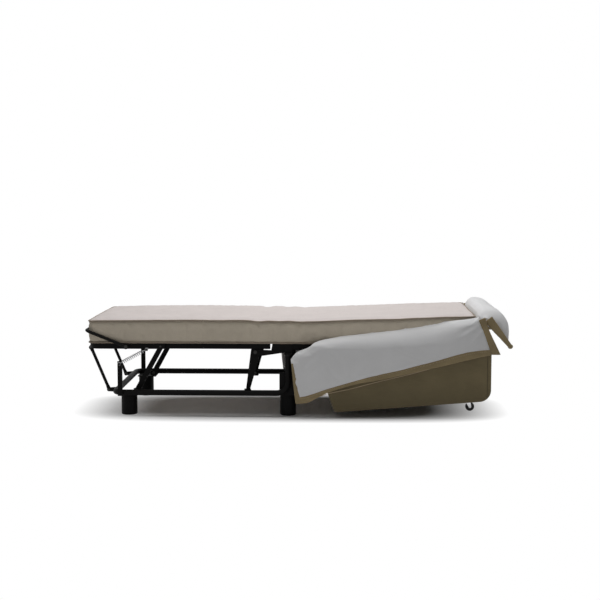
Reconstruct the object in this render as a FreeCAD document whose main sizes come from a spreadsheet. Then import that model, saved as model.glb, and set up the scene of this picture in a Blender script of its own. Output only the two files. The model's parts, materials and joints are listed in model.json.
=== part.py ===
import FreeCAD, Part
import Sketcher
import math
import os
import re
from types import SimpleNamespace
from FreeCAD import Placement, Rotation, Vector

# Convertible chair bed, opened flat as a bed.
# X runs from the foot end to the head end, Y from the near (left) side to the far side, Z up.

doc = FreeCAD.newDocument("ConvertibleChairBed")
sheet = doc.addObject("Spreadsheet::Sheet", "Sizes")
sheet.Label = "Sizes"

sizes = {
    # Legs and base frame
    "leg_radius": 41, "leg_height": 109, "leg_inset": 74, "leg_edge": 6,
    "leg_front_x": -873, "leg_rear_x": -50, "leg_bolt_radius": 8, "leg_bolt_rise": 9,
    "base_radius": 15, "tube_wall": 1.5, "rail_inset": 43,
    "front_tube_x": -937, "front_bend": 50, "post_x": -46, "post_bend": 60, "post_top": 318,
    "rear_tube_z": 205, "rear_tube_radius": 12, "cap_thick": 6, "cap_skirt": 10,
    "bracket_thick": 5, "bracket_long": 84, "ear_wide": 34, "ear_rise": 12, "web_rise": 22, "slot_side": 2,
    "post_wide": 24, "post_thick": 9, "spring_post_x": -904, "spring_post_top": 288,
    # Linkage pivots
    "rear_arm_x": -258, "front_arm_x": -831, "low_pivot_z": 124,
    "rear_pivot_x": -216, "rear_pivot_z": 330, "hinge_x": -700, "hinge_z": 360,
    "link_low_x": -983, "link_low_z": 123, "link_top_x": -1074, "link_top_z": 343,
    "arm_inset": 72, "arm_thick": 6, "pin_radius": 5, "pin_fit": 0.05, "hinge_slack": 1.3,
    "link_slack": 0.9, "head_radius": 9, "head_thick": 4, "link_inset": 105, "eye_thick": 8,
    "link_radius": 8, "eye_radius": 10, "gap": 2,
    "rear_arm_low": 10, "rear_arm_top": 25, "front_arm_low": 14, "front_arm_top": 13,
    "rear_bar_share": 0.87, "front_bar_share": 0.93,
    # Seat frame and foot frame
    "seat_inset": 64, "seat_rail_wide": 25, "rail_top": 375, "seat_rail_tall": 30,
    "seat_front_x": -725, "seat_rear_x": -140, "crossbar_radius": 9, "crossbar_z": 360,
    "seat_bar_front_x": -640, "seat_bar_rear_x": -300, "pivot_ear_radius": 17,
    "foot_inset": 37, "foot_rail_wide": 25, "foot_rail_tall": 28, "foot_end_x": -1069,
    "foot_rear_x": -678, "foot_bend": 40,
    "slat_thick": 6.5, "slat_wide": 58, "slat_pitch": 80, "seat_slats": 5, "foot_slats": 4,
    "seat_slat_x": -620, "foot_slat_x": -1010,
    "stud_radius": 2.8, "spring_stud_x": -764, "spring_stud_z": 351, "spring_low_z": 277,
    "spring_reach": 37, "stud_head": 6,
    # Springs
    "spring_wire": 2, "spring_coil": 8, "spring_turns": 12, "hook_radius": 6.6, "hook_neck": 5,
    # Retaining bow at the foot end
    "bow_radius": 8, "bow_gap": 12, "bow_pivot_x": -874, "bow_pivot_z": 361,
    "bow_front_x": -1077, "bow_front_z": 443, "bow_bend": 20, "bow_eye": 12,
    # Back section
    "back_side_gap": 38, "back_rail_wide": 22, "back_rail_tall": 30, "back_rail_x": -128,
    "back_rail_end": 930, "plate_thick": 6, "back_slat_x": -58, "back_slats": 9,
    "back_slat_pitch": 112, "rib_inset": 28, "rib_thick": 15, "board_thick": 15,
    "shell_half": 400, "shell_wall": 14, "shell_left": 103, "shell_low_x": 188,
    "shell_mid_x": 157, "shell_mid_z": 123, "shell_low_z": 31, "shell_right": 981,
    "shell_right_z": 93, "shell_top": 372, "shell_round": 60, "shell_edge": 18,
    "board_start": 220, "board_end": 900, "board_gap": 6, "back_bar_x": 40, "back_bar_pitch": 410,
    "stop_wide": 40, "stop_fit": 0.3, "arm_rivet_x": -92, "arm_rivet_z": 362,
    "pad_start_x": 150,
    "hinge_eye": 14, "hinge_heel_x": -179, "hinge_heel_z": 311, "hinge_neck_x": -81, "hinge_neck_z": 326,
    "hinge_tail_x": -20, "hinge_tail_z": 328, "hinge_top": 372, "hinge_step_x": -134, "hinge_step_z": 340,
    # Mattress
    "mattress_foot_x": -1067, "mattress_head_x": 900, "mattress_inset": 7, "mattress_low": 382.2,
    "mattress_thick": 108, "mattress_mid_rise": 5, "crown": 4, "side_draw": 3, "corner_in": 17,
    "fold_front_a": -762, "fold_front_b": -640, "fold_rear_a": -330, "fold_rear_b": -90,
    "rise_start_x": 65, "head_rise": 29, "soft_gap": 0.4,
    # Castors
    "wheel_radius": 23, "wheel_wide": 18, "castor_x": 885, "castor_y": 150, "trail": 15,
    "stem_radius": 5, "socket_radius": 13, "socket_low": 76, "socket_top": 122, "flange_radius": 22, "flange_thick": 4,
    "fork_top": 72, "fork_thick": 2.5, "axle_radius": 3,
    # Loose cover
    "cover_thick": 9, "hem_thick": 12, "lean_gap": 2, "cover_lean_rise": 60,
    "cover_spread_start": 700, "cover_spread_end": 903, "head_cover_inset": 8, "head_cover_thick": 16, "crest_x": 960, "crest_z": 455,
    "crest_radius": 107, "crest_front_z": 510, "crest_front_radius": 52, "head_cover_low_x": 922,
    "head_cover_fall": 102, "head_cover_droop": 0.78,
    # Strap up the head end of each side panel: height, start and end at six stations
    "strap_z_1": 333, "strap_start_1": 979, "strap_end_1": 1024,
    "strap_z_2": 360, "strap_start_2": 968.2, "strap_end_2": 1011,
    "strap_z_3": 388, "strap_start_3": 958, "strap_end_3": 998,
    "strap_z_4": 440, "strap_start_4": 939, "strap_end_4": 973,
    "strap_z_5": 505, "strap_start_5": 915, "strap_end_5": 941,
    "strap_z_6": 546, "strap_start_6": 903, "strap_end_6": 923,
    "hem_knob": 12, "hem_start_z": 512, "hem_start_radius": 18, "hem_end_x": 1073, "hem_end_z": 375,
}

# Planes that follow from the half width of the shell, each a named distance from the one beside it
sizes["cover_hang"] = sizes["shell_half"]
sizes["head_cover_half"] = sizes["cover_hang"] - sizes["head_cover_inset"]
sizes["head_cover_flat"] = sizes["head_cover_half"] - sizes["head_cover_fall"]
sizes["rail_offset"] = sizes["shell_half"] - sizes["rail_inset"]
sizes["leg_offset"] = sizes["rail_offset"] - sizes["leg_inset"]
sizes["arm_plane"] = sizes["rail_offset"] - sizes["arm_inset"]
sizes["link_plane"] = sizes["rail_offset"] - sizes["link_inset"]
sizes["seat_rail_in"] = sizes["rail_offset"] - sizes["seat_inset"]
sizes["foot_rail_in"] = sizes["rail_offset"] - sizes["foot_inset"]
sizes["spring_plane"] = sizes["rail_offset"] + sizes["spring_reach"]
sizes["mattress_half"] = sizes["rail_offset"] - sizes["mattress_inset"]
sizes["bow_plane"] = sizes["mattress_half"] + sizes["bow_gap"]
sizes["cover_lean"] = sizes["mattress_half"] + sizes["lean_gap"]
sizes["back_rail_in"] = sizes["shell_half"] - sizes["shell_wall"] - sizes["back_side_gap"] - sizes["back_rail_wide"]
sizes["rib_plane"] = sizes["back_rail_in"] - sizes["rib_inset"]
sizes["board_half"] = sizes["shell_half"] - sizes["shell_wall"] - sizes["board_gap"]
for row, (alias, value) in enumerate(sizes.items(), start=1):
    sheet.set("A%d" % row, alias)
    sheet.set("B%d" % row, str(value))
    sheet.setAlias("B%d" % row, alias)
doc.recompute()
s = SimpleNamespace(**{alias: float(sheet.get(alias)) for alias in sizes})
nodes = {}


# Helpers that bind an object to the sheet

def formula(text):
    return re.sub(r"[a-z][a-z_]+", lambda word: "Sizes." + word[0] if word[0] in sizes else word[0], str(text))


def bind(item, **expressions):
    for name, text in expressions.items():
        item.setExpression(name.replace("__", "."), formula(text))


def place(item, x, y, z):
    bind(item, Placement__Base__x=x, Placement__Base__y=y, Placement__Base__z=z)


def make_box(name, low, span):
    item = doc.addObject("Part::Box", name)
    bind(item, Length=span[0], Width=span[1], Height=span[2])
    place(item, *low)
    return item


def make_rod(name, radius, length, start, axis="Y"):
    item = doc.addObject("Part::Cylinder", name)
    turn = {"X": Rotation(Vector(0, 1, 0), 90), "Y": Rotation(Vector(1, 0, 0), -90), "Z": Rotation()}
    item.Placement = Placement(Vector(), turn[axis])
    bind(item, Radius=radius, Height=length)
    place(item, *start)
    return item


def fuse(name, parts):
    item = doc.addObject("Part::MultiFuse", name)
    item.Shapes = parts
    return item


def cut(name, base, tool):
    item = doc.addObject("Part::Cut", name)
    item.Base = base
    item.Tool = tool
    return item


def group(name, parts):
    item = doc.addObject("Part::Compound", name)
    item.Links = parts
    return item


def mirror(name, source):
    item = doc.addObject("Part::Mirroring", name)
    item.Source = source
    item.Normal = Vector(0, 1, 0)
    return item


def feature(name, shape):
    item = doc.addObject("Part::Feature", name)
    item.Shape = shape
    return item


def keep(name, item):
    item.Label = name
    nodes[name] = item
    return item


def pair(name, left):
    """A near-side piece and its mirror image on the far side."""
    keep(name + "_left", left)
    return keep(name + "_right", mirror(name + "_right", left))


def body(name, plane="XY_Plane", offset="0"):
    item = doc.addObject("PartDesign::Body", name)
    sketch = item.newObject("Sketcher::SketchObject", name + "_outline")
    base = [part for part in item.Origin.OriginFeatures if part.Role == plane][0]
    sketch.AttachmentSupport = [(base, "")]
    sketch.MapMode = "FlatFace"
    bind(sketch, AttachmentOffset__Base__z=offset)
    return item, sketch


def draw_polygon(sketch, corners):
    """Closed outline whose corners are bound to the sheet."""
    values = [Vector(*(float(sketch.evalExpression(formula(part))) for part in corner), 0) for corner in corners]
    count = len(corners)
    for index in range(count):
        line = Part.LineSegment(values[index], values[(index + 1) % count])
        sketch.addGeometry(line, False)
    for index in range(count):
        sketch.addConstraint(Sketcher.Constraint("Coincident", index, 2, (index + 1) % count, 1))
    for index, corner in enumerate(corners):
        for kind, text, value in zip(("DistanceX", "DistanceY"), corner, values[index]):
            number = sketch.addConstraint(Sketcher.Constraint(kind, index, 1, value))
            sketch.setExpression("Constraints[%d]" % number, formula(text))


def draw_circle(sketch, x, y, radius):
    values = [float(sketch.evalExpression(formula(part))) for part in (x, y, radius)]
    index = sketch.addGeometry(Part.Circle(Vector(values[0], values[1], 0), Vector(0, 0, 1), values[2]), False)
    for kind, text, value in (("DistanceX", x, values[0]), ("DistanceY", y, values[1])):
        number = sketch.addConstraint(Sketcher.Constraint(kind, index, 3, value))
        sketch.setExpression("Constraints[%d]" % number, formula(text))
    number = sketch.addConstraint(Sketcher.Constraint("Radius", index, values[2]))
    sketch.setExpression("Constraints[%d]" % number, formula(radius))


def pad(item, sketch, length, both=False):
    result = item.newObject("PartDesign::Pad", item.Name + "_pad")
    result.Profile = sketch
    result.Midplane = both
    bind(result, Length=length)
    return result


# Helpers for bent tubes and plates

def bent_path(corners, radii):
    """Straight runs joined by tangent arcs, one radius for each inner corner."""
    edges = []
    start = corners[0]
    for before, corner, after, radius in zip(corners, corners[1:], corners[2:], radii):
        inward = (before - corner).normalize()
        outward = (after - corner).normalize()
        half = inward.getAngle(outward) / 2
        reach = radius / math.tan(half)
        middle = corner + (inward + outward).normalize() * (radius / math.sin(half) - radius)
        first, last = corner + inward * reach, corner + outward * reach
        edges.append(Part.LineSegment(start, first).toShape())
        edges.append(Part.Arc(first, middle, last).toShape())
        start = last
    edges.append(Part.LineSegment(start, corners[-1]).toShape())
    return Part.Wire(edges)


def pipe(path, radius):
    edge = path.Edges[0]
    start = edge.valueAt(edge.FirstParameter)
    ring = Part.Wire([Part.makeCircle(radius, start, edge.tangentAt(edge.FirstParameter))])
    return path.makePipeShell([ring], True, False)


def disc_hull(low, low_radius, high, high_radius):
    """Flat outline round two discs in the XZ plane, joined by their outer tangents."""
    span = high - low
    lean = math.atan2(span.z, span.x)
    spread = math.acos((low_radius - high_radius) / span.Length)

    def on(centre, radius, angle):
        return centre + Vector(math.cos(angle), 0, math.sin(angle)) * radius

    a, b = lean + spread, lean - spread
    edges = [Part.LineSegment(on(low, low_radius, a), on(high, high_radius, a)).toShape(),
             Part.Arc(on(high, high_radius, a), on(high, high_radius, lean), on(high, high_radius, b)).toShape(),
             Part.LineSegment(on(high, high_radius, b), on(low, low_radius, b)).toShape(),
             Part.Arc(on(low, low_radius, b), on(low, low_radius, lean + math.pi), on(low, low_radius, a)).toShape()]
    return Part.Face(Part.Wire(edges))


def drill(shape, centre, radius, start, end):
    return shape.cut(Part.makeCylinder(radius, end - start, Vector(centre.x, start, centre.z), Vector(0, 1, 0)))


def plate(low, low_radius, high, high_radius, inner, thick, low_hole, high_hole):
    """Upright plate on the near side, from |Y| = inner outwards, with a hole at each end."""
    face = disc_hull(low, low_radius, high, high_radius)
    face.translate(Vector(0, -inner - thick, 0))
    solid = face.extrude(Vector(0, thick, 0))
    solid = drill(solid, low, low_hole, -inner - 2 * thick, -inner + thick)
    return drill(solid, high, high_hole, -inner - 2 * thick, -inner + thick)


rear_foot = Vector(s.rear_arm_x, 0, s.low_pivot_z)
front_foot = Vector(s.front_arm_x, 0, s.low_pivot_z)
rear_pivot = Vector(s.rear_pivot_x, 0, s.rear_pivot_z)
hinge = Vector(s.hinge_x, 0, s.hinge_z)
link_low = Vector(s.link_low_x, 0, s.link_low_z)
link_top = Vector(s.link_top_x, 0, s.link_top_z)
bore = s.pin_radius + s.pin_fit

# Base frame: two bent side rails with rear posts, a bent front tube and a rear tube
rail_z = s.leg_height + s.base_radius
rail_split_x = s.front_tube_x + s.front_bend


def side_rail(radius):
    y = -s.rail_offset
    corners = [Vector(rail_split_x, y, rail_z), Vector(s.post_x, y, rail_z), Vector(s.post_x, y, s.post_top)]
    return pipe(bent_path(corners, [s.post_bend]), radius)


def front_tube(radius):
    y = s.rail_offset
    corners = [Vector(rail_split_x + 0.1, -y, rail_z), Vector(s.front_tube_x, -y, rail_z),
               Vector(s.front_tube_x, y, rail_z), Vector(rail_split_x + 0.1, y, rail_z)]
    return pipe(bent_path(corners, [s.front_bend, s.front_bend]), radius)


def link_lug(pivot, seat_radius, seat_centre, tube_solid):
    """Ear beside a link's eye, from the pivot to the tube it is welded to."""
    low = -s.link_plane - s.eye_thick - s.gap - s.bracket_thick
    face = disc_hull(pivot, s.eye_radius, seat_centre, seat_radius)
    face.translate(Vector(0, low, 0))
    solid = drill(face.extrude(Vector(0, s.bracket_thick, 0)), pivot, s.pin_radius, low - 1, -s.link_plane)
    return solid.cut(tube_solid)


left_rail = side_rail(s.base_radius).cut(side_rail(s.base_radius - s.tube_wall))
left_rail.translate(Vector(0.1, 0, 0))
pair("base_rail", feature("base_rail_left", left_rail))
front_solid = front_tube(s.base_radius)
front_wall = feature("front_tube_wall", front_solid.cut(front_tube(s.base_radius - s.tube_wall)))
lug = feature("link_lug_near", link_lug(link_low, s.base_radius - s.gap, Vector(s.front_tube_x, 0, rail_z), front_solid))
keep("base_front_tube", fuse("base_front_tube", [front_wall, lug, mirror("link_lug_far", lug)]))

post_inner = "(rail_offset - base_radius)"
outer = make_rod("rear_tube_outer", "rear_tube_radius", "2 * " + post_inner, ("post_x", "-" + post_inner, "rear_tube_z"))
inner = make_rod("rear_tube_inner", "rear_tube_radius - tube_wall", "2 * " + post_inner,
                 ("post_x", "-" + post_inner, "rear_tube_z"))
keep("base_rear_tube", cut("base_rear_tube", outer, inner))

post_face = "(rail_offset + base_radius)"
post = make_box("spring_post_bar", ("spring_post_x - post_wide / 2", "-%s - post_thick" % post_face, "leg_height"),
                ("post_wide", "post_thick", "spring_post_top - leg_height"))
stud = make_rod("spring_post_stud", "stud_radius", "spring_plane + spring_coil - %s" % post_face,
                ("spring_post_x", "-spring_plane - spring_coil", "spring_low_z"))
head = make_rod("spring_post_head", "stud_head", "3", ("spring_post_x", "-spring_plane - spring_coil - 3", "spring_low_z"))
pair("spring_post", fuse("spring_post_left", [post, stud, head]))

# Brackets that hang the legs and carry the lower pivots of the arms
ear_inner = "(arm_plane + arm_thick + gap)"
web_outer = post_inner


def angle_bracket(name, start, end, web_top):
    """Flat plate on a leg with an upright web against the rail."""
    flat = make_box(name + "_plate", (start, "-" + web_outer, "leg_height"),
                    ("%s - (%s)" % (end, start), "%s - leg_offset + leg_radius" % web_outer, "bracket_thick"))
    web = make_box(name + "_web", (start, "-" + web_outer, "leg_height"),
                   ("%s - (%s)" % (end, start), "bracket_thick", web_top))
    return [flat, web]


def pivot_ear(name, pivot_x):
    return make_box(name, (pivot_x + " - ear_wide / 2", "-%s - bracket_thick" % ear_inner, "leg_height"),
                    ("ear_wide", "bracket_thick", "low_pivot_z + ear_rise - leg_height"))


def bolt_hole(name, x, y, z, depth):
    return make_rod(name, "leg_bolt_radius / 2 + pin_fit", depth, (x, y, z), "Z")


front_start = "leg_front_x - bracket_long / 2"
front_end = "front_arm_x + ear_wide / 2"
solid = fuse("front_bracket_solid", angle_bracket("front_bracket", front_start, front_end, "web_rise")
             + [pivot_ear("front_ear", "front_arm_x")])
slot = make_box("front_bracket_slot", ("front_arm_x - front_arm_low - slot_side", "-" + ear_inner, "leg_height - 1"),
                ("2 * ear_wide", "arm_thick + 2 * gap", "2 * bracket_thick"))
hole = make_rod("front_ear_hole", "pin_radius", "4 * bracket_thick",
                ("front_arm_x", "-%s - 2 * bracket_thick" % ear_inner, "low_pivot_z"))
leg_bore = bolt_hole("front_bracket_bore", "leg_front_x", "-leg_offset", "leg_height - 1", "3 * bracket_thick")
front_bracket = cut("front_bracket_near", solid, fuse("front_bracket_tools", [slot, hole, leg_bore]))
solid = fuse("rear_bracket_solid", angle_bracket("rear_bracket", "leg_rear_x - bracket_long / 2",
                                                 "leg_rear_x + bracket_long / 2", "2 * post_bend"))
rear_bracket = cut("rear_bracket_near", solid,
                   bolt_hole("rear_bracket_bore", "leg_rear_x", "-leg_offset", "leg_height - 1", "3 * bracket_thick"))
keep("leg_brackets", group("leg_brackets", [front_bracket, mirror("front_bracket_far", front_bracket),
                                            rear_bracket, mirror("rear_bracket_far", rear_bracket)]))
floor_plate = make_box("arm_bracket_plate", ("rear_arm_x - ear_wide / 2", "-" + web_outer, "leg_height"),
                       ("ear_wide", "%s - %s" % (web_outer, ear_inner), "bracket_thick"))
web = make_box("arm_bracket_web", ("rear_arm_x - ear_wide / 2", "-" + web_outer, "leg_height"),
               ("ear_wide", "bracket_thick", "web_rise"))
hole = make_rod("arm_bracket_hole", "pin_radius", "4 * bracket_thick",
                ("rear_arm_x", "-%s - 2 * bracket_thick" % ear_inner, "low_pivot_z"))
arm_bracket = cut("arm_bracket_near", fuse("arm_bracket_solid", [floor_plate, web, pivot_ear("rear_ear", "rear_arm_x")]), hole)
keep("rear_arm_brackets", group("rear_arm_brackets", [arm_bracket, mirror("arm_bracket_far", arm_bracket)]))

# Legs: turned blocks with a rounded foot and a blind hole for the bolt
leg_bolts = []
for end in ("front", "rear"):
    name = "leg_%s_left" % end
    leg, outline = body(name + "_block")
    draw_circle(outline, "leg_%s_x" % end, "-leg_offset", "leg_radius")
    column = pad(leg, outline, "leg_height")
    doc.recompute()
    edges = ["Edge%d" % (i + 1) for i, edge in enumerate(column.Shape.Edges) if abs(edge.CenterOfMass.z) < 0.1]
    rounding = leg.newObject("PartDesign::Fillet", name + "_rounding")
    rounding.Base = (column, edges)
    bind(rounding, Radius="leg_edge")
    bore_tool = bolt_hole(name + "_bore", "leg_%s_x" % end, "-leg_offset", "leg_height - leg_height / 3", "leg_height / 2")
    pair("leg_" + end, cut(name + "_solid", leg, bore_tool))
    shank = make_rod(name + "_shank", "leg_bolt_radius / 2", "bracket_thick + leg_height / 4",
                     ("leg_%s_x" % end, "-leg_offset", "leg_height * 3 / 4"), "Z")
    head = make_rod(name + "_bolt_head", "leg_bolt_radius", "leg_bolt_rise",
                    ("leg_%s_x" % end, "-leg_offset", "leg_height + bracket_thick"), "Z")
    bolt = fuse(name + "_bolt", [shank, head])
    leg_bolts += [bolt, mirror(name + "_bolt_far", bolt)]
keep("leg_bolts", group("leg_bolts", leg_bolts))

pad_disc = make_rod("post_cap_disc", "base_radius", "cap_thick", ("post_x", "-rail_offset", "post_top"), "Z")
plug = make_rod("post_cap_plug", "base_radius - tube_wall - pin_fit", "cap_skirt + 1",
                ("post_x", "-rail_offset", "post_top - cap_skirt"), "Z")
cap = fuse("post_cap_near", [pad_disc, plug])
keep("post_caps", group("post_caps", [cap, mirror("post_cap_far", cap)]))


def pin(name, x, z, start, end, radius="pin_radius"):
    """Pin on the near side from |Y| = start to |Y| = end, with a head on the inner end."""
    shank = make_rod(name + "_shank", radius, "%s - (%s)" % (end, start), (x, "-(%s)" % end, z))
    head = make_rod(name + "_head", "head_radius", "head_thick", (x, "-(%s)" % start, z))
    return fuse(name, [shank, head])


pin_start = "arm_plane - gap"
link_pin_start = "link_plane - gap"
link_pin_end = "link_plane + eye_thick + 2 * gap + bracket_thick"
base_pins = [pin("front_arm_pin", "front_arm_x", "low_pivot_z", pin_start, ear_inner + " + bracket_thick + gap"),
             pin("rear_arm_pin", "rear_arm_x", "low_pivot_z", pin_start, ear_inner + " + bracket_thick + gap"),
             pin("link_low_pin", "link_low_x", "link_low_z", link_pin_start, link_pin_end)]
keep("base_pivot_pins", group("base_pivot_pins", base_pins + [mirror(item.Name + "_far", item) for item in base_pins]))

# Swinging arms and the thin links to the foot section
pair("rear_arm", feature("rear_arm_left", plate(rear_foot, s.rear_arm_low, rear_pivot, s.rear_arm_top,
                                                s.arm_plane, s.arm_thick, bore, bore)))
pair("front_arm", feature("front_arm_left", plate(front_foot, s.front_arm_low, hinge, s.front_arm_top,
                                                  s.arm_plane, s.arm_thick, bore, s.pin_radius + s.hinge_slack)))


def crossbar(name, x, z, half):
    outer = make_rod(name + "_outer", "crossbar_radius", "2 * (%s)" % half, (x, "-(%s)" % half, z))
    inner = make_rod(name + "_inner", "crossbar_radius - tube_wall", "2 * (%s)" % half, (x, "-(%s)" % half, z))
    return cut(name, outer, inner)


keep("rear_arm_crossbar", crossbar("rear_arm_crossbar", "rear_arm_x + rear_bar_share * (rear_pivot_x - rear_arm_x)",
                                   "low_pivot_z + rear_bar_share * (rear_pivot_z - low_pivot_z)", "arm_plane"))
keep("front_arm_crossbar", crossbar("front_arm_crossbar", "front_arm_x + front_bar_share * (hinge_x - front_arm_x)",
                                    "low_pivot_z + front_bar_share * (hinge_z - low_pivot_z)", "arm_plane"))


def foot_link():
    span = link_top - link_low
    along = Vector(span).normalize()
    centre = Vector(0, -s.link_plane - s.eye_thick / 2, 0)
    reach = s.eye_radius + 1
    solid = Part.makeCylinder(s.link_radius, span.Length - 2 * reach, link_low + along * reach + centre, along)
    for pivot, radius in ((link_low, bore), (link_top, s.pin_radius + s.link_slack)):
        low = -s.link_plane - s.eye_thick
        toward = along if pivot is link_low else -along
        eye = disc_hull(pivot, s.eye_radius, pivot + toward * 2 * s.eye_radius, s.link_radius)
        eye.translate(Vector(0, low, 0))
        solid = solid.fuse(eye.extrude(Vector(0, s.eye_thick, 0)))
        solid = drill(solid, pivot, radius, low - 1, low + s.eye_thick + 1)
    return solid


pair("foot_link", feature("foot_link_left", foot_link()))

# Seat frame: box-section rails with a hanging ear at the rear pivot, crossbars and slats
rail_low = s.rail_top - s.seat_rail_tall


def box_rail(name, start, end, inner, wide, tall):
    outer = make_box(name + "_outer", (start, "-(%s + %s)" % (inner, wide), "rail_top - " + tall),
                     ("%s - (%s)" % (end, start), wide, tall))
    cavity = make_box(name + "_cavity", (start + " - 1", "-(%s + %s) + tube_wall" % (inner, wide), "rail_top - %s + tube_wall" % tall),
                      ("%s - (%s) + 2" % (end, start), wide + " - 2 * tube_wall", tall + " - 2 * tube_wall"))
    return cut(name, outer, cavity)


ear_low = -s.seat_rail_in - s.seat_rail_wide / 2 - s.bracket_thick / 2
ear = disc_hull(rear_pivot, s.front_arm_top, Vector(s.rear_pivot_x, 0, s.rail_top), 2 * s.front_arm_top)
ear.translate(Vector(0, ear_low, 0))
ear = drill(ear.extrude(Vector(0, s.bracket_thick, 0)), rear_pivot, s.pin_radius, ear_low - 1, ear_low + 2 * s.bracket_thick)
ear_span = 12 * s.pivot_ear_radius
ear = ear.cut(Part.makeBox(ear_span, ear_span, ear_span, Vector(s.rear_pivot_x - ear_span / 2, ear_low - ear_span / 2, rail_low)))
rail = box_rail("seat_rail_tube", "seat_front_x", "seat_rear_x", "seat_rail_in", "seat_rail_wide", "seat_rail_tall")
hole = make_rod("seat_rail_hole", "pin_radius", "2 * seat_rail_wide", ("hinge_x", "-seat_rail_in - 1.5 * seat_rail_wide", "hinge_z"))
pair("seat_rail", fuse("seat_rail_left", [cut("seat_rail_drilled", rail, hole), feature("seat_rail_ear", ear)]))
keep("seat_crossbars", group("seat_crossbars", [
    crossbar("seat_crossbar_front", "seat_bar_front_x", "crossbar_z", "seat_rail_in"),
    crossbar("seat_crossbar_rear", "seat_bar_rear_x", "crossbar_z", "seat_rail_in")]))


def slats(name, count, start, pitch, half):
    items = [make_box("%s_%d" % (name, index + 1),
                      ("%s + %d * %s - slat_wide / 2" % (start, index, pitch), "-(%s)" % half, "rail_top"),
                      ("slat_wide", "2 * (%s)" % half, "slat_thick")) for index in range(int(count))]
    keep(name, group(name, items))


slats("seat_slats", s.seat_slats, "seat_slat_x", "slat_pitch", "seat_rail_in + seat_rail_wide")
hinge_pin_end = "foot_rail_in + foot_rail_wide + gap"
rear_pin_end = "back_rail_in + gap"
seat_pins = [pin("hinge_pin", "hinge_x", "hinge_z", pin_start, hinge_pin_end),
             pin("rear_pivot_pin", "rear_pivot_x", "rear_pivot_z", pin_start, rear_pin_end)]
nut = make_rod("rear_pivot_nut", "head_radius", "head_thick", ("rear_pivot_x", "-(%s) - head_thick" % rear_pin_end, "rear_pivot_z"))
seat_pins.append(nut)
keep("seat_pivot_pins", group("seat_pivot_pins", seat_pins + [mirror(item.Name + "_far", item) for item in seat_pins]))

# Foot frame: one box-section tube bent to a U, with ears for the thin links and studs
foot_mid = s.foot_rail_in + s.foot_rail_wide / 2
foot_z = s.rail_top - s.foot_rail_tall / 2
foot_front = s.foot_end_x + s.foot_rail_wide / 2


def foot_hoop(inset):
    path = bent_path([Vector(s.foot_rear_x, -foot_mid, foot_z), Vector(foot_front, -foot_mid, foot_z),
                      Vector(foot_front, foot_mid, foot_z), Vector(s.foot_rear_x, foot_mid, foot_z)],
                     [s.foot_bend, s.foot_bend])
    half_wide, half_tall = s.foot_rail_wide / 2 - inset, s.foot_rail_tall / 2 - inset
    ring = [Vector(s.foot_rear_x, -foot_mid + y * half_wide, foot_z + z * half_tall)
            for y, z in ((-1, -1), (1, -1), (1, 1), (-1, 1), (-1, -1))]
    return path.makePipeShell([Part.makePolygon(ring)], True, False)


hoop = foot_hoop(0)
frame = hoop.cut(foot_hoop(s.tube_wall))
for side in (-1, 1):
    middle = side * foot_mid
    frame = drill(frame, hinge, bore, middle - s.foot_rail_wide, middle + s.foot_rail_wide)
lug = feature("foot_lug_near", link_lug(link_top, s.foot_rail_wide / 2, Vector(foot_front, 0, foot_z), hoop))
keep("foot_frame_tube", fuse("foot_frame_tube", [feature("foot_hoop_wall", frame), lug, mirror("foot_lug_far", lug)]))
slats("foot_slats", s.foot_slats, "foot_slat_x", "slat_pitch", "foot_rail_in + foot_rail_wide")
foot_face = "(foot_rail_in + foot_rail_wide)"
spring_end = "(spring_plane + spring_coil)"
bow_end = "(bow_plane + bow_radius + 1)"
studs = [pin("link_top_pin", "link_top_x", "link_top_z", link_pin_start, link_pin_end),
         fuse("spring_stud", [
             make_rod("spring_stud_shank", "stud_radius", "%s - %s" % (spring_end, foot_face),
                      ("spring_stud_x", "-" + spring_end, "spring_stud_z")),
             make_rod("spring_stud_head", "stud_head", "3", ("spring_stud_x", "-%s - 3" % spring_end, "spring_stud_z"))]),
         fuse("bow_stud", [
             make_rod("bow_stud_shank", "pin_radius", "%s - %s" % (bow_end, foot_face),
                      ("bow_pivot_x", "-" + bow_end, "bow_pivot_z")),
             make_rod("bow_stud_head", "head_radius", "3", ("bow_pivot_x", "-%s - 3" % bow_end, "bow_pivot_z"))])]
keep("foot_frame_studs", group("foot_frame_studs", studs + [mirror(item.Name + "_far", item) for item in studs]))


# Springs: one wire each, wound on a helix with a hook at both ends
def biarc(start, start_way, end, end_way):
    """Two tangent arcs from start to end."""
    span, ways = end - start, start_way + end_way
    square = 2 * (1 - start_way.dot(end_way))
    along = span.dot(ways)
    if abs(square) < 1e-9:
        reach = span.dot(span) / (2 * along)
    else:
        reach = (-along + math.sqrt(along * along + square * span.dot(span))) / square
    joint = (start + start_way * reach + end - end_way * reach) * 0.5
    edges = []
    for low, way, high in ((start, start_way, joint), (joint, None, end)):
        chord = high - low
        lean = Vector(chord).normalize()
        side = (way - lean * way.dot(lean)) if way else (lean * end_way.dot(lean) - end_way)
        if side.Length < 1e-6:
            edges.append(Part.LineSegment(low, high).toShape())
            continue
        angle = math.atan2(side.Length, abs((way or end_way).dot(lean)))
        middle = (low + high) * 0.5 + side.normalize() * (chord.Length / 2 * math.tan(angle / 2))
        edges.append(Part.Arc(low, middle, high).toShape())
    return edges


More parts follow.
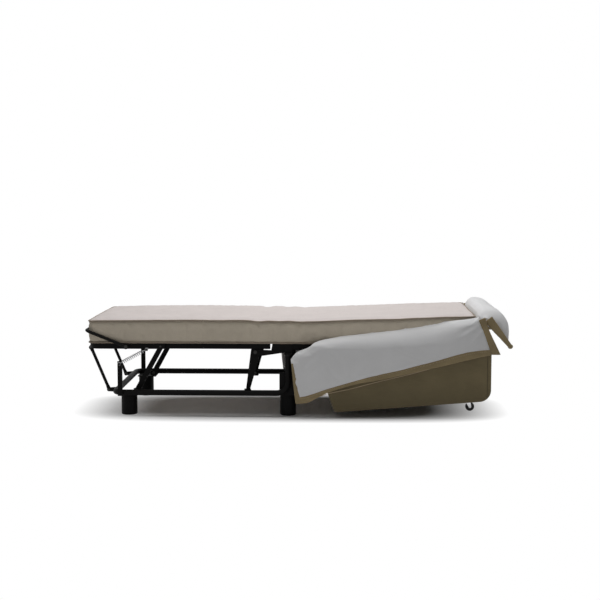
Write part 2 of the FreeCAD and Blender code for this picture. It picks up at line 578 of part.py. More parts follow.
def spring_nodes():
    """Points and directions of the wire along local X, from the lower stud to the upper one."""
    low = Vector(s.spring_post_x, 0, s.spring_low_z)
    high = Vector(s.spring_stud_x, 0, s.spring_stud_z)
    length = (high - low).Length
    neck = s.hook_radius + s.hook_neck
    turns, radius = s.spring_turns, s.spring_coil
    pitch = (length - 2 * neck - 2 * radius) / turns
    hook = [(Vector(s.hook_radius * math.cos(a), 0, s.hook_radius * math.sin(a)), Vector(math.sin(a), 0, -math.cos(a)))
            for a in (math.radians(d) for d in (300, 210, 120))]
    coil = []
    for quarter in range(int(4 * turns) + 1):
        angle = quarter * math.pi / 2
        spot = Vector(neck + radius + pitch * quarter / 4, -radius * math.cos(angle), radius * math.sin(angle))
        way = Vector(pitch / (2 * math.pi), radius * math.sin(angle), radius * math.cos(angle)).normalize()
        coil.append((spot, way))
    start = [(Vector(neck - 1, 0, 0), Vector(1, 0, 0))]
    finish = [(Vector(length - spot.x, spot.y, spot.z), Vector(way.x, -way.y, -way.z)) for spot, way in reversed(hook)]
    last = [(Vector(length - neck + 1, 0, 0), Vector(1, 0, 0))]
    return low, high, hook + start + coil + last + finish


def spring():
    low, high, route = spring_nodes()
    edges = []
    for (start, start_way), (end, end_way) in zip(route, route[1:]):
        edges += biarc(start, start_way, end, end_way)
    path = Part.Wire(edges)
    solid = pipe(path, s.spring_wire)
    spots = [edge.valueAt(edge.FirstParameter + (edge.LastParameter - edge.FirstParameter) * k / 4)
             for edge in path.Edges for k in range(4)]
    steps = [0.0]
    for before, after in zip(spots, spots[1:]):
        steps.append(steps[-1] + (after - before).Length)
    least = min((a - b).Length for i, a in enumerate(spots) for j, b in enumerate(spots) if steps[j] - steps[i] > 12)
    print("spring wire: least gap to itself %.2f mm" % (least - 2 * s.spring_wire))
    tilt = -math.degrees(math.atan2(high.z - low.z, high.x - low.x))
    solid.Placement = Placement(low + Vector(0, -s.spring_plane, 0), Rotation(Vector(0, 1, 0), tilt))
    return solid


pair("spring", feature("spring_left", spring()))


# Retaining bow: round bar that stands round the foot end of the mattress
def bow():
    pivot = Vector(s.bow_pivot_x, -s.bow_plane, s.bow_pivot_z)
    front = Vector(s.bow_front_x, -s.bow_plane, s.bow_front_z)
    along = (front - pivot).normalize()
    flip = Vector(0, 2 * s.bow_plane, 0)
    start = pivot + along * s.bow_eye
    path = bent_path([start, front, front + flip, start + flip], [s.bow_bend, s.bow_bend])
    solid = pipe(path, s.bow_radius)
    for y in (-s.bow_plane, s.bow_plane):
        spot = Vector(pivot.x, y - s.bow_radius, pivot.z)
        solid = solid.fuse(Part.makeCylinder(s.bow_eye + 1, 2 * s.bow_radius, spot, Vector(0, 1, 0)))
        solid = drill(solid, pivot, bore, y - 2 * s.bow_radius, y + 2 * s.bow_radius)
    return solid


keep("mattress_bow", feature("mattress_bow", bow()))

# Back frame: rails, hinge arms that reach back to the seat pivot, crossbars, slats and stops
pair("back_rail", box_rail("back_rail_left", "back_rail_x", "back_rail_end", "back_rail_in", "back_rail_wide", "back_rail_tall"))


def hinge_arm():
    outer = -s.back_rail_in
    low = s.rail_top - s.back_rail_tall
    corners = [(s.rear_pivot_x, s.rear_pivot_z - s.hinge_eye), (s.hinge_heel_x, s.hinge_heel_z), (s.hinge_neck_x, s.hinge_neck_z),
               (s.hinge_tail_x, s.hinge_tail_z), (s.hinge_tail_x, s.hinge_top), (s.back_rail_x, s.hinge_top),
               (s.hinge_step_x, s.hinge_step_z), (s.rear_pivot_x, s.rear_pivot_z + s.hinge_eye)]
    outline = [Vector(x, outer, z) for x, z in corners]
    solid = Part.Face(Part.makePolygon(outline + outline[:1])).extrude(Vector(0, s.plate_thick, 0))
    solid = solid.fuse(Part.makeCylinder(s.hinge_eye, s.plate_thick, Vector(s.rear_pivot_x, outer, s.rear_pivot_z), Vector(0, 1, 0)))
    solid = drill(solid, rear_pivot, bore, outer - 1, outer + 2 * s.plate_thick)
    rivet = Part.makeCylinder(s.stud_head, 2, Vector(s.arm_rivet_x, outer + s.plate_thick, s.arm_rivet_z), Vector(0, 1, 0))
    return solid.fuse(rivet)


pair("back_hinge_arm", feature("back_hinge_arm_left", hinge_arm()))
bars = [crossbar("back_crossbar_%d" % (index + 1), "back_bar_x + %d * back_bar_pitch" % index, "crossbar_z", "back_rail_in")
        for index in range(3)]
keep("back_crossbars", group("back_crossbars", bars))
slats("back_slats", s.back_slats, "back_slat_x", "back_slat_pitch", "back_rail_in + back_rail_wide")
stop_low = "(post_top + cap_thick + stop_fit)"
stop = make_box("stop_near", ("post_x - stop_wide / 2", "-rail_offset - base_radius", stop_low),
                ("stop_wide", "rail_offset + base_radius - back_rail_in - back_rail_wide", "bracket_thick"))
stop_side = make_box("stop_side_near", ("post_x - stop_wide / 2", "-back_rail_in - back_rail_wide - bracket_thick", stop_low),
                     ("stop_wide", "bracket_thick", "rail_top - 2 - " + stop_low))
stop = fuse("stop_bracket_near", [stop, stop_side])
keep("back_stop_brackets", group("back_stop_brackets", [stop, mirror("stop_bracket_far", stop)]))

# Storage shell under the back, its floor board and two ribs
slope = (s.shell_right_z - s.shell_low_z) / (s.shell_right - s.shell_low_x)


def shell_floor(x):
    return s.shell_low_z + slope * (x - s.shell_low_x)


def shell_solid(inset):
    """Shell volume shrunk by inset on all sides except the open top."""
    top = s.shell_top + 60
    lean = (s.shell_mid_x - s.shell_left) / (s.shell_top - s.shell_mid_z)
    half = s.shell_half - inset
    corners = [(s.shell_left - 60 * lean, top), (s.shell_mid_x, s.shell_mid_z), (s.shell_low_x, s.shell_low_z),
               (s.shell_right, s.shell_right_z), (s.shell_right, top)]
    ring = [Vector(x, -half, z) for x, z in corners]
    wire = Part.makePolygon(ring + ring[:1])
    if inset:
        wire = wire.makeOffset2D(-inset, 2)
    solid = Part.Face(wire).extrude(Vector(0, 2 * half, 0))
    across = [edge for edge in solid.Edges if abs(edge.tangentAt(edge.FirstParameter).y) > 0.9 and edge.CenterOfMass.z < s.shell_mid_z + s.shell_edge]
    heel = [edge for edge in across if edge.CenterOfMass.x > s.board_end]
    nose = [edge for edge in across if edge.CenterOfMass.x < s.board_end]
    solid = solid.makeFillet(s.shell_round - inset, heel).makeFillet(s.shell_edge - inset, nose)
    rim = [edge for edge in solid.Edges if abs(abs(edge.CenterOfMass.y) - half) < 0.1 and edge.CenterOfMass.z < top - 1
           and edge.BoundBox.YLength < 0.1]
    solid = solid.makeFillet(s.shell_edge - inset - 1, rim)
    return solid.cut(Part.makeBox(2 * s.shell_right, 4 * s.shell_half, s.shell_half, Vector(0, -2 * s.shell_half, s.shell_top)))


def socket_hole(radius):
    return [Part.makeCylinder(radius, 80, Vector(s.castor_x, side * s.castor_y, s.socket_low - 10)) for side in (-1, 1)]


outer_shell = shell_solid(0)
shell = outer_shell.cut(shell_solid(s.shell_wall))
for tool in socket_hole(s.socket_radius):
    shell = shell.cut(tool)
keep("back_shell", feature("back_shell", shell))


def sloped_slab(start, end, low_offset, high_offset, near, far):
    """Upright slice from a line parallel to the shell floor up to another one."""
    corners = [(start, shell_floor(start) + low_offset), (end, shell_floor(end) + low_offset),
               (end, shell_floor(end) + high_offset), (start, shell_floor(start) + high_offset)]
    ring = [Vector(x, near, z) for x, z in corners]
    return Part.Face(Part.makePolygon(ring + ring[:1])).extrude(Vector(0, far - near, 0))


floor_offset = s.shell_wall * math.sqrt(1 + slope * slope)
board = sloped_slab(s.board_start, s.board_end, floor_offset, floor_offset + s.board_thick, -s.board_half, s.board_half)
for tool in socket_hole(s.socket_radius):
    board = board.cut(tool)
keep("back_board", feature("back_board", board))
rib_low = floor_offset + s.board_thick
rib = sloped_slab(s.board_start, s.board_end, rib_low, rib_low + s.shell_half, -s.rib_plane - s.rib_thick, -s.rib_plane)
rib = rib.cut(Part.makeBox(2 * s.shell_right, 4 * s.shell_half, s.shell_half, Vector(0, -2 * s.shell_half, s.crossbar_z)))
for index in range(3):
    spot = Vector(s.back_bar_x + index * s.back_bar_pitch, -2 * s.shell_half, s.crossbar_z)
    rib = rib.cut(Part.makeCylinder(s.crossbar_radius, 4 * s.shell_half, spot, Vector(0, 1, 0)))
rib = feature("back_rib_near", rib)
keep("back_ribs", group("back_ribs", [rib, mirror("back_rib_far", rib)]))


# Castors under the head end: socket, swivelling fork with its axle, wheel
def socket(side):
    centre = Vector(s.castor_x, side * s.castor_y, s.socket_low)
    solid = Part.makeCylinder(s.socket_radius, s.socket_top - s.socket_low, centre)
    flange = Part.makeCylinder(s.flange_radius, 4 * s.flange_thick, centre).cut(outer_shell)
    solid = solid.fuse(flange)
    return solid.cut(Part.makeCylinder(s.stem_radius + s.pin_fit, 100, centre - Vector(0, 0, 10)))


keep("castor_sockets", group("castor_sockets", [feature("castor_socket_near", socket(-1)), feature("castor_socket_far", socket(1))]))
wheel_x = s.castor_x + s.trail
fork_half = s.wheel_wide / 2 + 1


def fork():
    y = -s.castor_y
    stem = Vector(s.castor_x, y, s.fork_top)
    solid = Part.makeCylinder(s.stem_radius, s.socket_top - s.fork_top - 3, stem)
    collar = Part.makeCylinder(2 * s.stem_radius, 3, stem)
    solid = solid.fuse(collar)
    bridge_half = fork_half + s.fork_thick
    solid = solid.fuse(Part.makeBox(26, 2 * bridge_half, s.fork_thick, Vector(s.castor_x - 11, y - bridge_half, s.fork_top - s.fork_thick)))
    head = Vector(s.castor_x + 2, 0, s.fork_top - 13)
    for low in (y - bridge_half, y + fork_half):
        cheek = disc_hull(head, 13, Vector(wheel_x, 0, s.wheel_radius), 7)
        cheek.translate(Vector(0, low, 0))
        cheek = cheek.extrude(Vector(0, s.fork_thick, 0))
        solid = solid.fuse(drill(cheek, Vector(wheel_x, 0, s.wheel_radius), s.axle_radius, low - 1, low + 5))
    return solid


def wheel():
    low = Vector(wheel_x, -s.castor_y - s.wheel_wide / 2, s.wheel_radius)
    solid = Part.makeCylinder(s.wheel_radius, s.wheel_wide, low, Vector(0, 1, 0))
    rims = [edge for edge in solid.Edges if edge.Curve.TypeId == "Part::GeomCircle"]
    solid = solid.makeFillet(3, rims)
    return drill(solid, low, s.axle_radius + s.pin_fit, low.y - 1, low.y + s.wheel_wide + 1)


axle = make_rod("castor_axle_shank", "axle_radius", "wheel_wide + 2 + 2 * fork_thick",
                ("castor_x + trail", "-castor_y - wheel_wide / 2 - 1 - fork_thick", "wheel_radius"))
caps = [make_rod("castor_axle_cap_%s" % label, "axle_radius + 2", "2", ("castor_x + trail", start, "wheel_radius"))
        for label, start in (("near", "-castor_y - wheel_wide / 2 - 3 - fork_thick"), ("far", "-castor_y + wheel_wide / 2 + 1 + fork_thick"))]
axle = fuse("castor_axle_near", [axle] + caps)
pair("castor_fork", group("castor_fork_left", [feature("castor_fork_near", fork()), axle]))
pair("castor_wheel", feature("castor_wheel_left", wheel()))


# Mattress: soft block in five lengths, two of them bending at the folds
def mattress_low(x):
    rise = max(0.0, x - s.rise_start_x) / (s.mattress_head_x - s.rise_start_x)
    return s.mattress_low + s.head_rise * rise


def mattress_top(x):
    along = (x - s.mattress_foot_x) / (s.rise_start_x - s.mattress_foot_x)
    return mattress_low(x) + s.mattress_thick + s.mattress_mid_rise * max(0.0, math.sin(math.pi * min(along, 1.0)))


def mattress_section(x, shrink=0.0):
    low, high, half = mattress_low(x) + shrink, mattress_top(x) - shrink, s.mattress_half - shrink
    inset = s.corner_in
    edges = []
    for side in (1, -1):
        def at(y, z):
            return Vector(x, side * y, z)
        edges.append(Part.Arc(at(half - 6, low), at(half - 1.8, low + 1.8), at(half, low + 6)).toShape())
        edges.append(Part.Arc(at(half, low + 6), at(half - s.side_draw, (low + high) / 2), at(half, high - 6)).toShape())
        edges.append(Part.Arc(at(half, high - 6), at(half - inset / 4, high - 1.6), at(half - inset, high)).toShape())
    top = Part.Arc(Vector(x, inset - half, high), Vector(x, 0, high + s.crown), Vector(x, half - inset, high)).toShape()
    bottom = Part.makeLine(Vector(x, 6 - half, low), Vector(x, half - 6, low))
    return Part.Wire(Part.__sortEdges__(edges + [top, bottom]))


def mattress_block(name, start, end, count):
    stations = [start + (end - start) * step / count for step in range(count + 1)]
    if start < s.rise_start_x < end:
        stations = [start, s.rise_start_x, end]
    ruled = Part.makeLoft([mattress_section(x) for x in stations], True, True)
    keep(name, feature(name, ruled))


mattress_block("mattress_foot", s.mattress_foot_x, s.fold_front_a - s.soft_gap, 3)
mattress_block("mattress_fold_front", s.fold_front_a, s.fold_front_b - s.soft_gap, 1)
mattress_block("mattress_seat", s.fold_front_b, s.fold_rear_a - s.soft_gap, 3)
mattress_block("mattress_fold_rear", s.fold_rear_a, s.fold_rear_b - s.soft_gap, 2)
mattress_block("mattress_head", s.fold_rear_b, s.mattress_head_x, 2)
slat_top = s.rail_top + s.slat_thick
wedge = [(s.pad_start_x, slat_top), (s.mattress_head_x - 5, slat_top), (s.mattress_head_x - 5, mattress_low(s.mattress_head_x - 5)),
         (s.pad_start_x, mattress_low(s.pad_start_x))]
ring = [Vector(x, -s.mattress_half + 6, z) for x, z in wedge]
wedge = Part.Face(Part.makePolygon(ring + ring[:1])).extrude(Vector(0, 2 * s.mattress_half - 12, 0))
keep("head_pad", feature("head_pad", wedge))


# Loose cover hanging over both sides and over the head end
def cover_plane(top, z):
    """Distance of the cover's inner face from the middle, on the section whose top edge is at (x, z) = top."""
    if z <= s.shell_top or top[1] <= s.shell_top:
        return s.cover_hang
    ahead = min(1.0, max(0.0, (top[0] - s.cover_spread_start) / (s.cover_spread_end - s.cover_spread_start)))
    lean = s.cover_lean + (s.head_cover_half + s.soft_gap - s.cover_lean) * ahead
    share = (z - s.shell_top) / (top[1] - s.shell_top)
    reach = min(1.0, (top[1] - s.shell_top) / s.cover_lean_rise)
    return s.cover_hang - (s.cover_hang - lean) * reach * share ** 2


def cover_section(top, low, thick, side):
    """Outline from the top edge point to the low edge point, both given as (x, z)."""
    knee = min(s.shell_top, top[1] - 20)
    heights = [top[1] + (knee - top[1]) * step / 4 for step in range(5)] + [low[1]]
    points = []
    for z in heights:
        share = (top[1] - z) / (top[1] - low[1])
        points.append(Vector(top[0] + (low[0] - top[0]) * share, cover_plane(top, z), z))
    outer = [spot + Vector(0, thick, 0) for spot in reversed(points)]
    ring = [Vector(spot.x, side * spot.y, spot.z) for spot in points + outer]
    return Part.makePolygon(ring + ring[:1])


def cover_panel(stations, thick, side):
    return Part.makeLoft([cover_section(top, low, thick, side) for top, low in stations], True, True)


panel_near = [((-34, 302), (-11, 112)), ((0, 342), (30, 118)), ((53, 363), (90, 135)), ((111, 397), (152, 156)),
              ((292, 429), (288, 197)), ((393, 443), (419, 232)), ((519, 459), (560, 265)), ((720, 493), (740, 315)),
              ((845, 508), (860, 346)), ((909, 521), (968, 360))]
shifts = (71, 55, 40, 22)
panel_far = [((top[0] - shift, top[1]), (low[0] - shift, low[1]))
             for (top, low), shift in zip(panel_near, shifts + (0,) * 6)]
keep("cover_flap_left", feature("cover_flap_left", cover_panel(panel_near, s.cover_thick, -1)))
keep("cover_flap_right", feature("cover_flap_right", cover_panel(panel_far, s.cover_thick, 1)))


def hem(panel, drops, side):
    """Folded edge below a side panel, then up along its head end."""
    rings = []
    for (top, low), (dx, dz) in zip(panel, drops):
        x, z = low
        near, far = side * s.cover_hang, side * (s.cover_hang + s.hem_thick)
        ring = [Vector(x, near, z), Vector(x + dx, near, z - dz), Vector(x + dx, far, z - dz), Vector(x, far, z)]
        rings.append(Part.makePolygon(ring + ring[:1]))
    strips = [Part.makeLoft(rings, True, True)]
    rings = []
    stations = [[getattr(s, "strap_%s_%d" % (part, index)) for part in ("z", "start", "end")] for index in range(1, 7)]
    for z, start, end in stations:
        near = side * cover_plane((s.cover_spread_end, stations[-1][0]), z)
        far = near + side * s.hem_thick
        ring = [Vector(start, near, z), Vector(end, near, z), Vector(end, far, z), Vector(start, far, z)]
        rings.append(Part.makePolygon(ring + ring[:1]))
    return Part.makeCompound(strips + [Part.makeLoft(rings, True, True)])


drops = [(3, 34), (16, 37), (3, 34), (0, 23), (0, 20), (0, 30), (5, 33), (14, 36), (12, 36), (11, 27)]
hem_pieces = [feature("hem_near", hem(panel_near, drops, -1)), feature("hem_far", hem(panel_far, drops, 1))]


def head_cover_side(inset):
    """Points (x, z) of one face of the arch, from its front edge over the crest to its back edge."""
    big, small = s.crest_radius - inset, s.crest_front_radius - inset
    points = [(s.head_cover_low_x + inset, s.rail_top)]
    for degrees in (180, 157.5, 135, 112.5, 90):
        angle = math.radians(degrees)
        points.append((s.crest_x + small * math.cos(angle), s.crest_front_z + small * math.sin(angle)))
    for degrees in (72, 54, 36, 18, 0):
        angle = math.radians(degrees)
        points.append((s.crest_x + big * math.cos(angle), s.crest_z + big * math.sin(angle)))
    return points + [(s.crest_x + big, s.rail_top + 10)]


def head_cover_section(y, height):
    ring = head_cover_side(0) + list(reversed(head_cover_side(s.head_cover_thick)))
    ring = [Vector(x, y, s.rail_top + (z - s.rail_top) * height) for x, z in ring]
    return Part.makePolygon(ring + ring[:1])


head_rings = [head_cover_section(y, height) for y, height in (
    (-s.head_cover_half, s.head_cover_droop), (-(s.head_cover_half + s.head_cover_flat) / 2, 0.96),
    (-s.head_cover_flat, 1.0), (s.head_cover_flat, 1.0),
    ((s.head_cover_half + s.head_cover_flat) / 2, 0.96), (s.head_cover_half, s.head_cover_droop))]
keep("head_cover", feature("head_cover", Part.makeLoft(head_rings, True, True)))
band = disc_hull(Vector(s.hem_end_x, 0, s.hem_end_z), s.hem_knob, Vector(s.crest_x, 0, s.hem_start_z), s.hem_start_radius)
band.translate(Vector(0, -s.head_cover_half - s.hem_thick, 0))
band = feature("head_hem_near", band.extrude(Vector(0, s.hem_thick, 0)))
keep("cover_hems", group("cover_hems", hem_pieces + [band, mirror("head_hem_far", band)]))


# Clearances where one piece passes through or beside another
def trim(name, tools):
    """Cuts the tools from a node and keeps the largest part of each of its solids."""
    whole = nodes[name]
    solids = []
    for solid in whole.Shape.Solids:
        for tool in tools:
            if solid.distToShape(tool)[0] == 0:
                solid = max(solid.cut(tool).Solids, key=lambda item: item.Volume)
        solids.append(solid)
    whole.Label = name + "_before_trim"
    keep(name, feature(name + "_trimmed", solids[0] if len(solids) == 1 else Part.makeCompound(solids)))


def both(shape):
    return [shape, shape.mirror(Vector(), Vector(0, 1, 0))]


doc.recompute()
tube_reach = 2 * s.post_wide
trim("leg_brackets", [nodes["base_front_tube"].Shape]
     + both(Part.makeCylinder(s.rear_tube_radius + s.pin_fit, tube_reach,
                              Vector(s.post_x, -s.rail_offset, s.rear_tube_z), Vector(0, 1, 0))))
notch = 2 * s.soft_gap
trim("back_shell", both(Part.makeBox(
    s.back_rail_tall, s.back_rail_wide + notch, s.back_rail_tall + notch,
    Vector(s.shell_left - s.soft_gap, -s.back_rail_in - s.back_rail_wide - s.soft_gap, s.shell_top - s.back_rail_tall - s.soft_gap))))
link_side = s.eye_thick + s.head_thick + s.gap + 1
trim("foot_frame_tube", both(Part.makeCylinder(
    s.eye_radius + s.gap, link_side - s.soft_gap,
    Vector(s.link_top_x, -s.link_plane - s.eye_thick - s.soft_gap, s.link_top_z), Vector(0, 1, 0))))

# Checks on every object, then one file for each subcomponent
doc.recompute()
faults = [item.Name for item in doc.Objects if {"Invalid", "Error"} & set(item.State)]
faults += [name for name, item in nodes.items() if item.Shape.isNull() or not item.Shape.isValid()]
if faults:
    raise RuntimeError("faulty objects: %s" % ", ".join(faults))
os.makedirs("parts", exist_ok=True)
for name, item in nodes.items():
    if item.Label != name:
        raise RuntimeError("label of %s is %s" % (name, item.Label))
    item.Shape.exportStep("parts/%s.step" % name)
print("%d subcomponents written" % len(nodes))
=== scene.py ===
import bpy
import bmesh
import json
import math
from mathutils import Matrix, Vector, noise


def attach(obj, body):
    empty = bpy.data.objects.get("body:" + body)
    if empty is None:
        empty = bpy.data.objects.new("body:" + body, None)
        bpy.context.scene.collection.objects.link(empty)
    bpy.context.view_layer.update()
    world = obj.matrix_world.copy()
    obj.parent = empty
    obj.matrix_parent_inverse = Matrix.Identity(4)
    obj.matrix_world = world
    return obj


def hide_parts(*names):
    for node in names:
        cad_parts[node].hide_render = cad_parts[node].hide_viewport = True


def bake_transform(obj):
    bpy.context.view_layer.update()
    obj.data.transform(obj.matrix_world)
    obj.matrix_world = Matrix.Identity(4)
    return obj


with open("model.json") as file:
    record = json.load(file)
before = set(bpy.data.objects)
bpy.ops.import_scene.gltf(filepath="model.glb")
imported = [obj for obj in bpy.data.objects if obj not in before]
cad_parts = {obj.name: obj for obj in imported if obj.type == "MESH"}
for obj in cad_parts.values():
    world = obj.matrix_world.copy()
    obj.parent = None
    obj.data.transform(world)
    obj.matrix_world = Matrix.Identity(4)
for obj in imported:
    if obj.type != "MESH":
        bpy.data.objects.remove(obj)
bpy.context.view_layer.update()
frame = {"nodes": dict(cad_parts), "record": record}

nodes = frame["nodes"]
print("frame loaded:", len(nodes), "CAD nodes")

# shader helpers: a socket that does maths, and a maker of materials


class Flow:
    def __init__(self, maker, socket):
        self.maker = maker
        self.socket = socket

    def join(self, operation, first, second):
        return self.maker.node("ShaderNodeMath", {"operation": operation}, {0: first, 1: second})

    def __add__(self, other):
        return self.join("ADD", self, other)

    def __sub__(self, other):
        return self.join("SUBTRACT", self, other)

    def __rsub__(self, other):
        return self.join("SUBTRACT", other, self)

    def __mul__(self, other):
        return self.join("MULTIPLY", self, other)

    def __pow__(self, other):
        return self.join("POWER", self, other)

    __radd__ = __add__
    __rmul__ = __mul__


class Finish:
    def __init__(self, name, **fixed):
        self.material = bpy.data.materials.new(name)
        self.material.use_nodes = True
        self.tree = self.material.node_tree
        self.shader = self.tree.nodes["Principled BSDF"]
        self.output = self.tree.nodes["Material Output"]
        for label, value in fixed.items():
            self.shader.inputs[label.replace("_", " ")].default_value = value

    def node(self, kind, settings, values, output=0):
        made = self.tree.nodes.new(kind)
        for label, value in settings.items():
            setattr(made, label, value)
        for label, value in values.items():
            self.feed(made.inputs[label], value)
        return Flow(self, made.outputs[output])

    def feed(self, target, value):
        if isinstance(value, Flow):
            self.tree.links.new(value.socket, target)
        elif isinstance(value, tuple) and len(value) == 3 and target.type == "RGBA":
            target.default_value = (*value, 1)
        else:
            target.default_value = value

    def place(self, scale=(1, 1, 1), turn=(0, 0, 0)):
        spots = self.node("ShaderNodeTexCoord", {}, {}, "Object")
        return self.node("ShaderNodeMapping", {}, {"Vector": spots, "Scale": scale, "Rotation": turn})

    def axis(self, letter):
        # one of the object's own coordinates, as a number
        spots = self.node("ShaderNodeTexCoord", {}, {}, "Object")
        return self.node("ShaderNodeSeparateXYZ", {}, {0: spots}, letter)

    def noise(self, scale, detail=3, rough=0.5, where=None):
        where = where or self.place()
        values = {"Vector": where, "Scale": scale, "Detail": detail, "Roughness": rough}
        return self.node("ShaderNodeTexNoise", {}, values)

    def wave(self, scale, where, axis="X", warp=0.0):
        values = {"Vector": where, "Scale": scale, "Distortion": warp}
        return self.node("ShaderNodeTexWave", {"bands_direction": axis}, values, 1)

    def mix(self, share, first, second):
        return self.node("ShaderNodeMix", {"data_type": "RGBA"}, {0: share, 6: first, 7: second}, 2)

    def ramp(self, value, low, high):
        return self.node("ShaderNodeMapRange", {}, {0: value, 1: low, 2: high, 3: 0.0, 4: 1.0})

    def set(self, label, value):
        self.feed(self.shader.inputs[label], value)

    def bump(self, height, distance, strength=1.0):
        values = {"Height": height, "Distance": distance, "Strength": strength}
        self.set("Normal", self.node("ShaderNodeBump", {}, values))


def tone(colour, factor):
    return tuple(min(1.0, part * factor) for part in colour)


def cloth(name, colour, thread=0.0011, roughness=0.85, mottle=0.1, weave=0.35, sheen=0.15):
    finish = Finish(name, Sheen_Weight=sheen, Sheen_Roughness=0.5, Specular_IOR_Level=0.2)
    where = finish.place()
    turned = finish.place(turn=(math.radians(45), math.radians(35), math.radians(20)))
    count = 1 / (thread * 2 * math.pi) * 2  # about one wave to a thread
    warp = finish.wave(count, where, "X", 0.6)
    weft = finish.wave(count, where, "Z", 0.6) * 0.5 + finish.wave(count, where, "Y", 0.6) * 0.5
    fabric = warp * weft
    cloudy = finish.noise(9, 4, 0.55, turned)  # broad uneven dye
    slub = finish.noise(260, 2, 0.5, finish.place(scale=(1, 1, 0.25)))  # thick places in the thread
    shade = finish.ramp(cloudy + (slub - 0.5) * 0.35, 0.3, 0.7)
    plain = finish.mix(shade, tone(colour, 1 - mottle), tone(colour, 1 + mottle))
    finish.set("Base Color", finish.mix(fabric * weave, plain, tone(colour, 0.8)))
    finish.set("Roughness", finish.noise(40, 2, 0.5, where) * 0.12 + (roughness - 0.06))
    finish.bump(fabric + slub * 0.6, 0.0004, 0.6)
    return finish.material


def paint(name, colour, roughness=0.42, wear=(0.09, 0.085, 0.08), grain=900, shine=0.16):
    finish = Finish(name, Specular_IOR_Level=shine)
    rough = finish.noise(18, 4, 0.6)
    speck = finish.noise(grain, 2, 0.5)
    worn = finish.ramp(finish.noise(55, 5, 0.7), 0.68, 0.8)
    finish.set("Base Color", finish.mix(worn * 0.5, finish.mix(rough, colour, tone(colour, 1.35)), wear))
    finish.set("Roughness", rough * 0.18 + (roughness - 0.09))
    finish.bump(speck * 0.6 + rough * 0.4, 0.0003, 0.35)
    return finish.material


def metal(name, colour, roughness=0.3, brushed=(1, 1, 1)):
    finish = Finish(name, Metallic=1.0)
    streak = finish.noise(220, 3, 0.6, finish.place(scale=brushed))
    stain = finish.noise(25, 4, 0.6)
    finish.set("Base Color", finish.mix(finish.ramp(stain, 0.35, 0.75), colour, tone(colour, 0.78)))
    finish.set("Roughness", streak * 0.2 + stain * 0.1 + (roughness - 0.15))
    finish.bump(streak, 0.0002, 0.3)
    return finish.material


def timber(name, colour):
    finish = Finish(name, Coat_Weight=0.15, Coat_Roughness=0.4)
    grain = finish.noise(30, 6, 0.65, finish.place(scale=(14, 0.5, 14)))
    pore = finish.noise(300, 2, 0.5, finish.place(scale=(6, 0.4, 6)))
    darker, lighter = tone(colour, 0.75), tone(colour, 1.15)
    finish.set("Base Color", finish.mix(finish.ramp(grain, 0.35, 0.7), darker, lighter))
    finish.set("Roughness", grain * 0.2 + 0.45)
    finish.bump(grain + pore * 0.5, 0.0003, 0.5)
    return finish.material


shellLook = {
    "threads": 245, "weave": 0.35, "seamPlace": 0.962, "seamWander": 0.004, "seamEdges": (0.0006, 0.0032),
    "shadeHeights": (0.03, 0.20), "dragStretch": (0.9, 1, 3.2), "dragTurn": -14,
    "seamTone": 0.58, "lowTone": 0.62, "weaveTone": 0.7, "mottle": 0.12,
}


def shellCloth(name, colour):
    # fitted cloth of the shell: an upright seam near the head end, soft drag folds, a shaded lower edge
    finish = Finish(name, Sheen_Weight=0.1, Specular_IOR_Level=0.2)
    where = finish.place()
    length, height = finish.axis("X"), finish.axis("Z")
    warp, weft = [finish.wave(shellLook["threads"], where, letter, 0.5) for letter in ("X", "Z")]
    fabric = warp * weft
    cloudy = finish.noise(7, 4, 0.55)
    slanted = finish.place(scale=shellLook["dragStretch"], turn=(0, math.radians(shellLook["dragTurn"]), 0))
    drag = finish.noise(5, 3, 0.5, slanted)
    fromSeam = length + (finish.noise(12, 1) * shellLook["seamWander"] - shellLook["seamPlace"])
    seamGap = finish.node("ShaderNodeMath", {"operation": "ABSOLUTE"}, {0: fromSeam})
    seam = finish.ramp(seamGap, *shellLook["seamEdges"])
    upper = finish.ramp(height, *shellLook["shadeHeights"])
    darker, lighter = tone(colour, 1 - shellLook["mottle"]), tone(colour, 1 + shellLook["mottle"])
    plain = finish.mix(finish.ramp(cloudy, 0.3, 0.7), darker, lighter)
    shaded = finish.mix(upper, tone(colour, shellLook["lowTone"]), plain)
    woven = finish.mix(fabric * shellLook["weave"], shaded, tone(colour, shellLook["weaveTone"]))
    finish.set("Base Color", finish.mix(seam, tone(colour, shellLook["seamTone"]), woven))
    finish.set("Roughness", cloudy * 0.1 + 0.8)
    finish.bump(fabric * 0.02 + drag * 2.2 + seam * 0.5, 0.004, 0.55)
    return finish.material


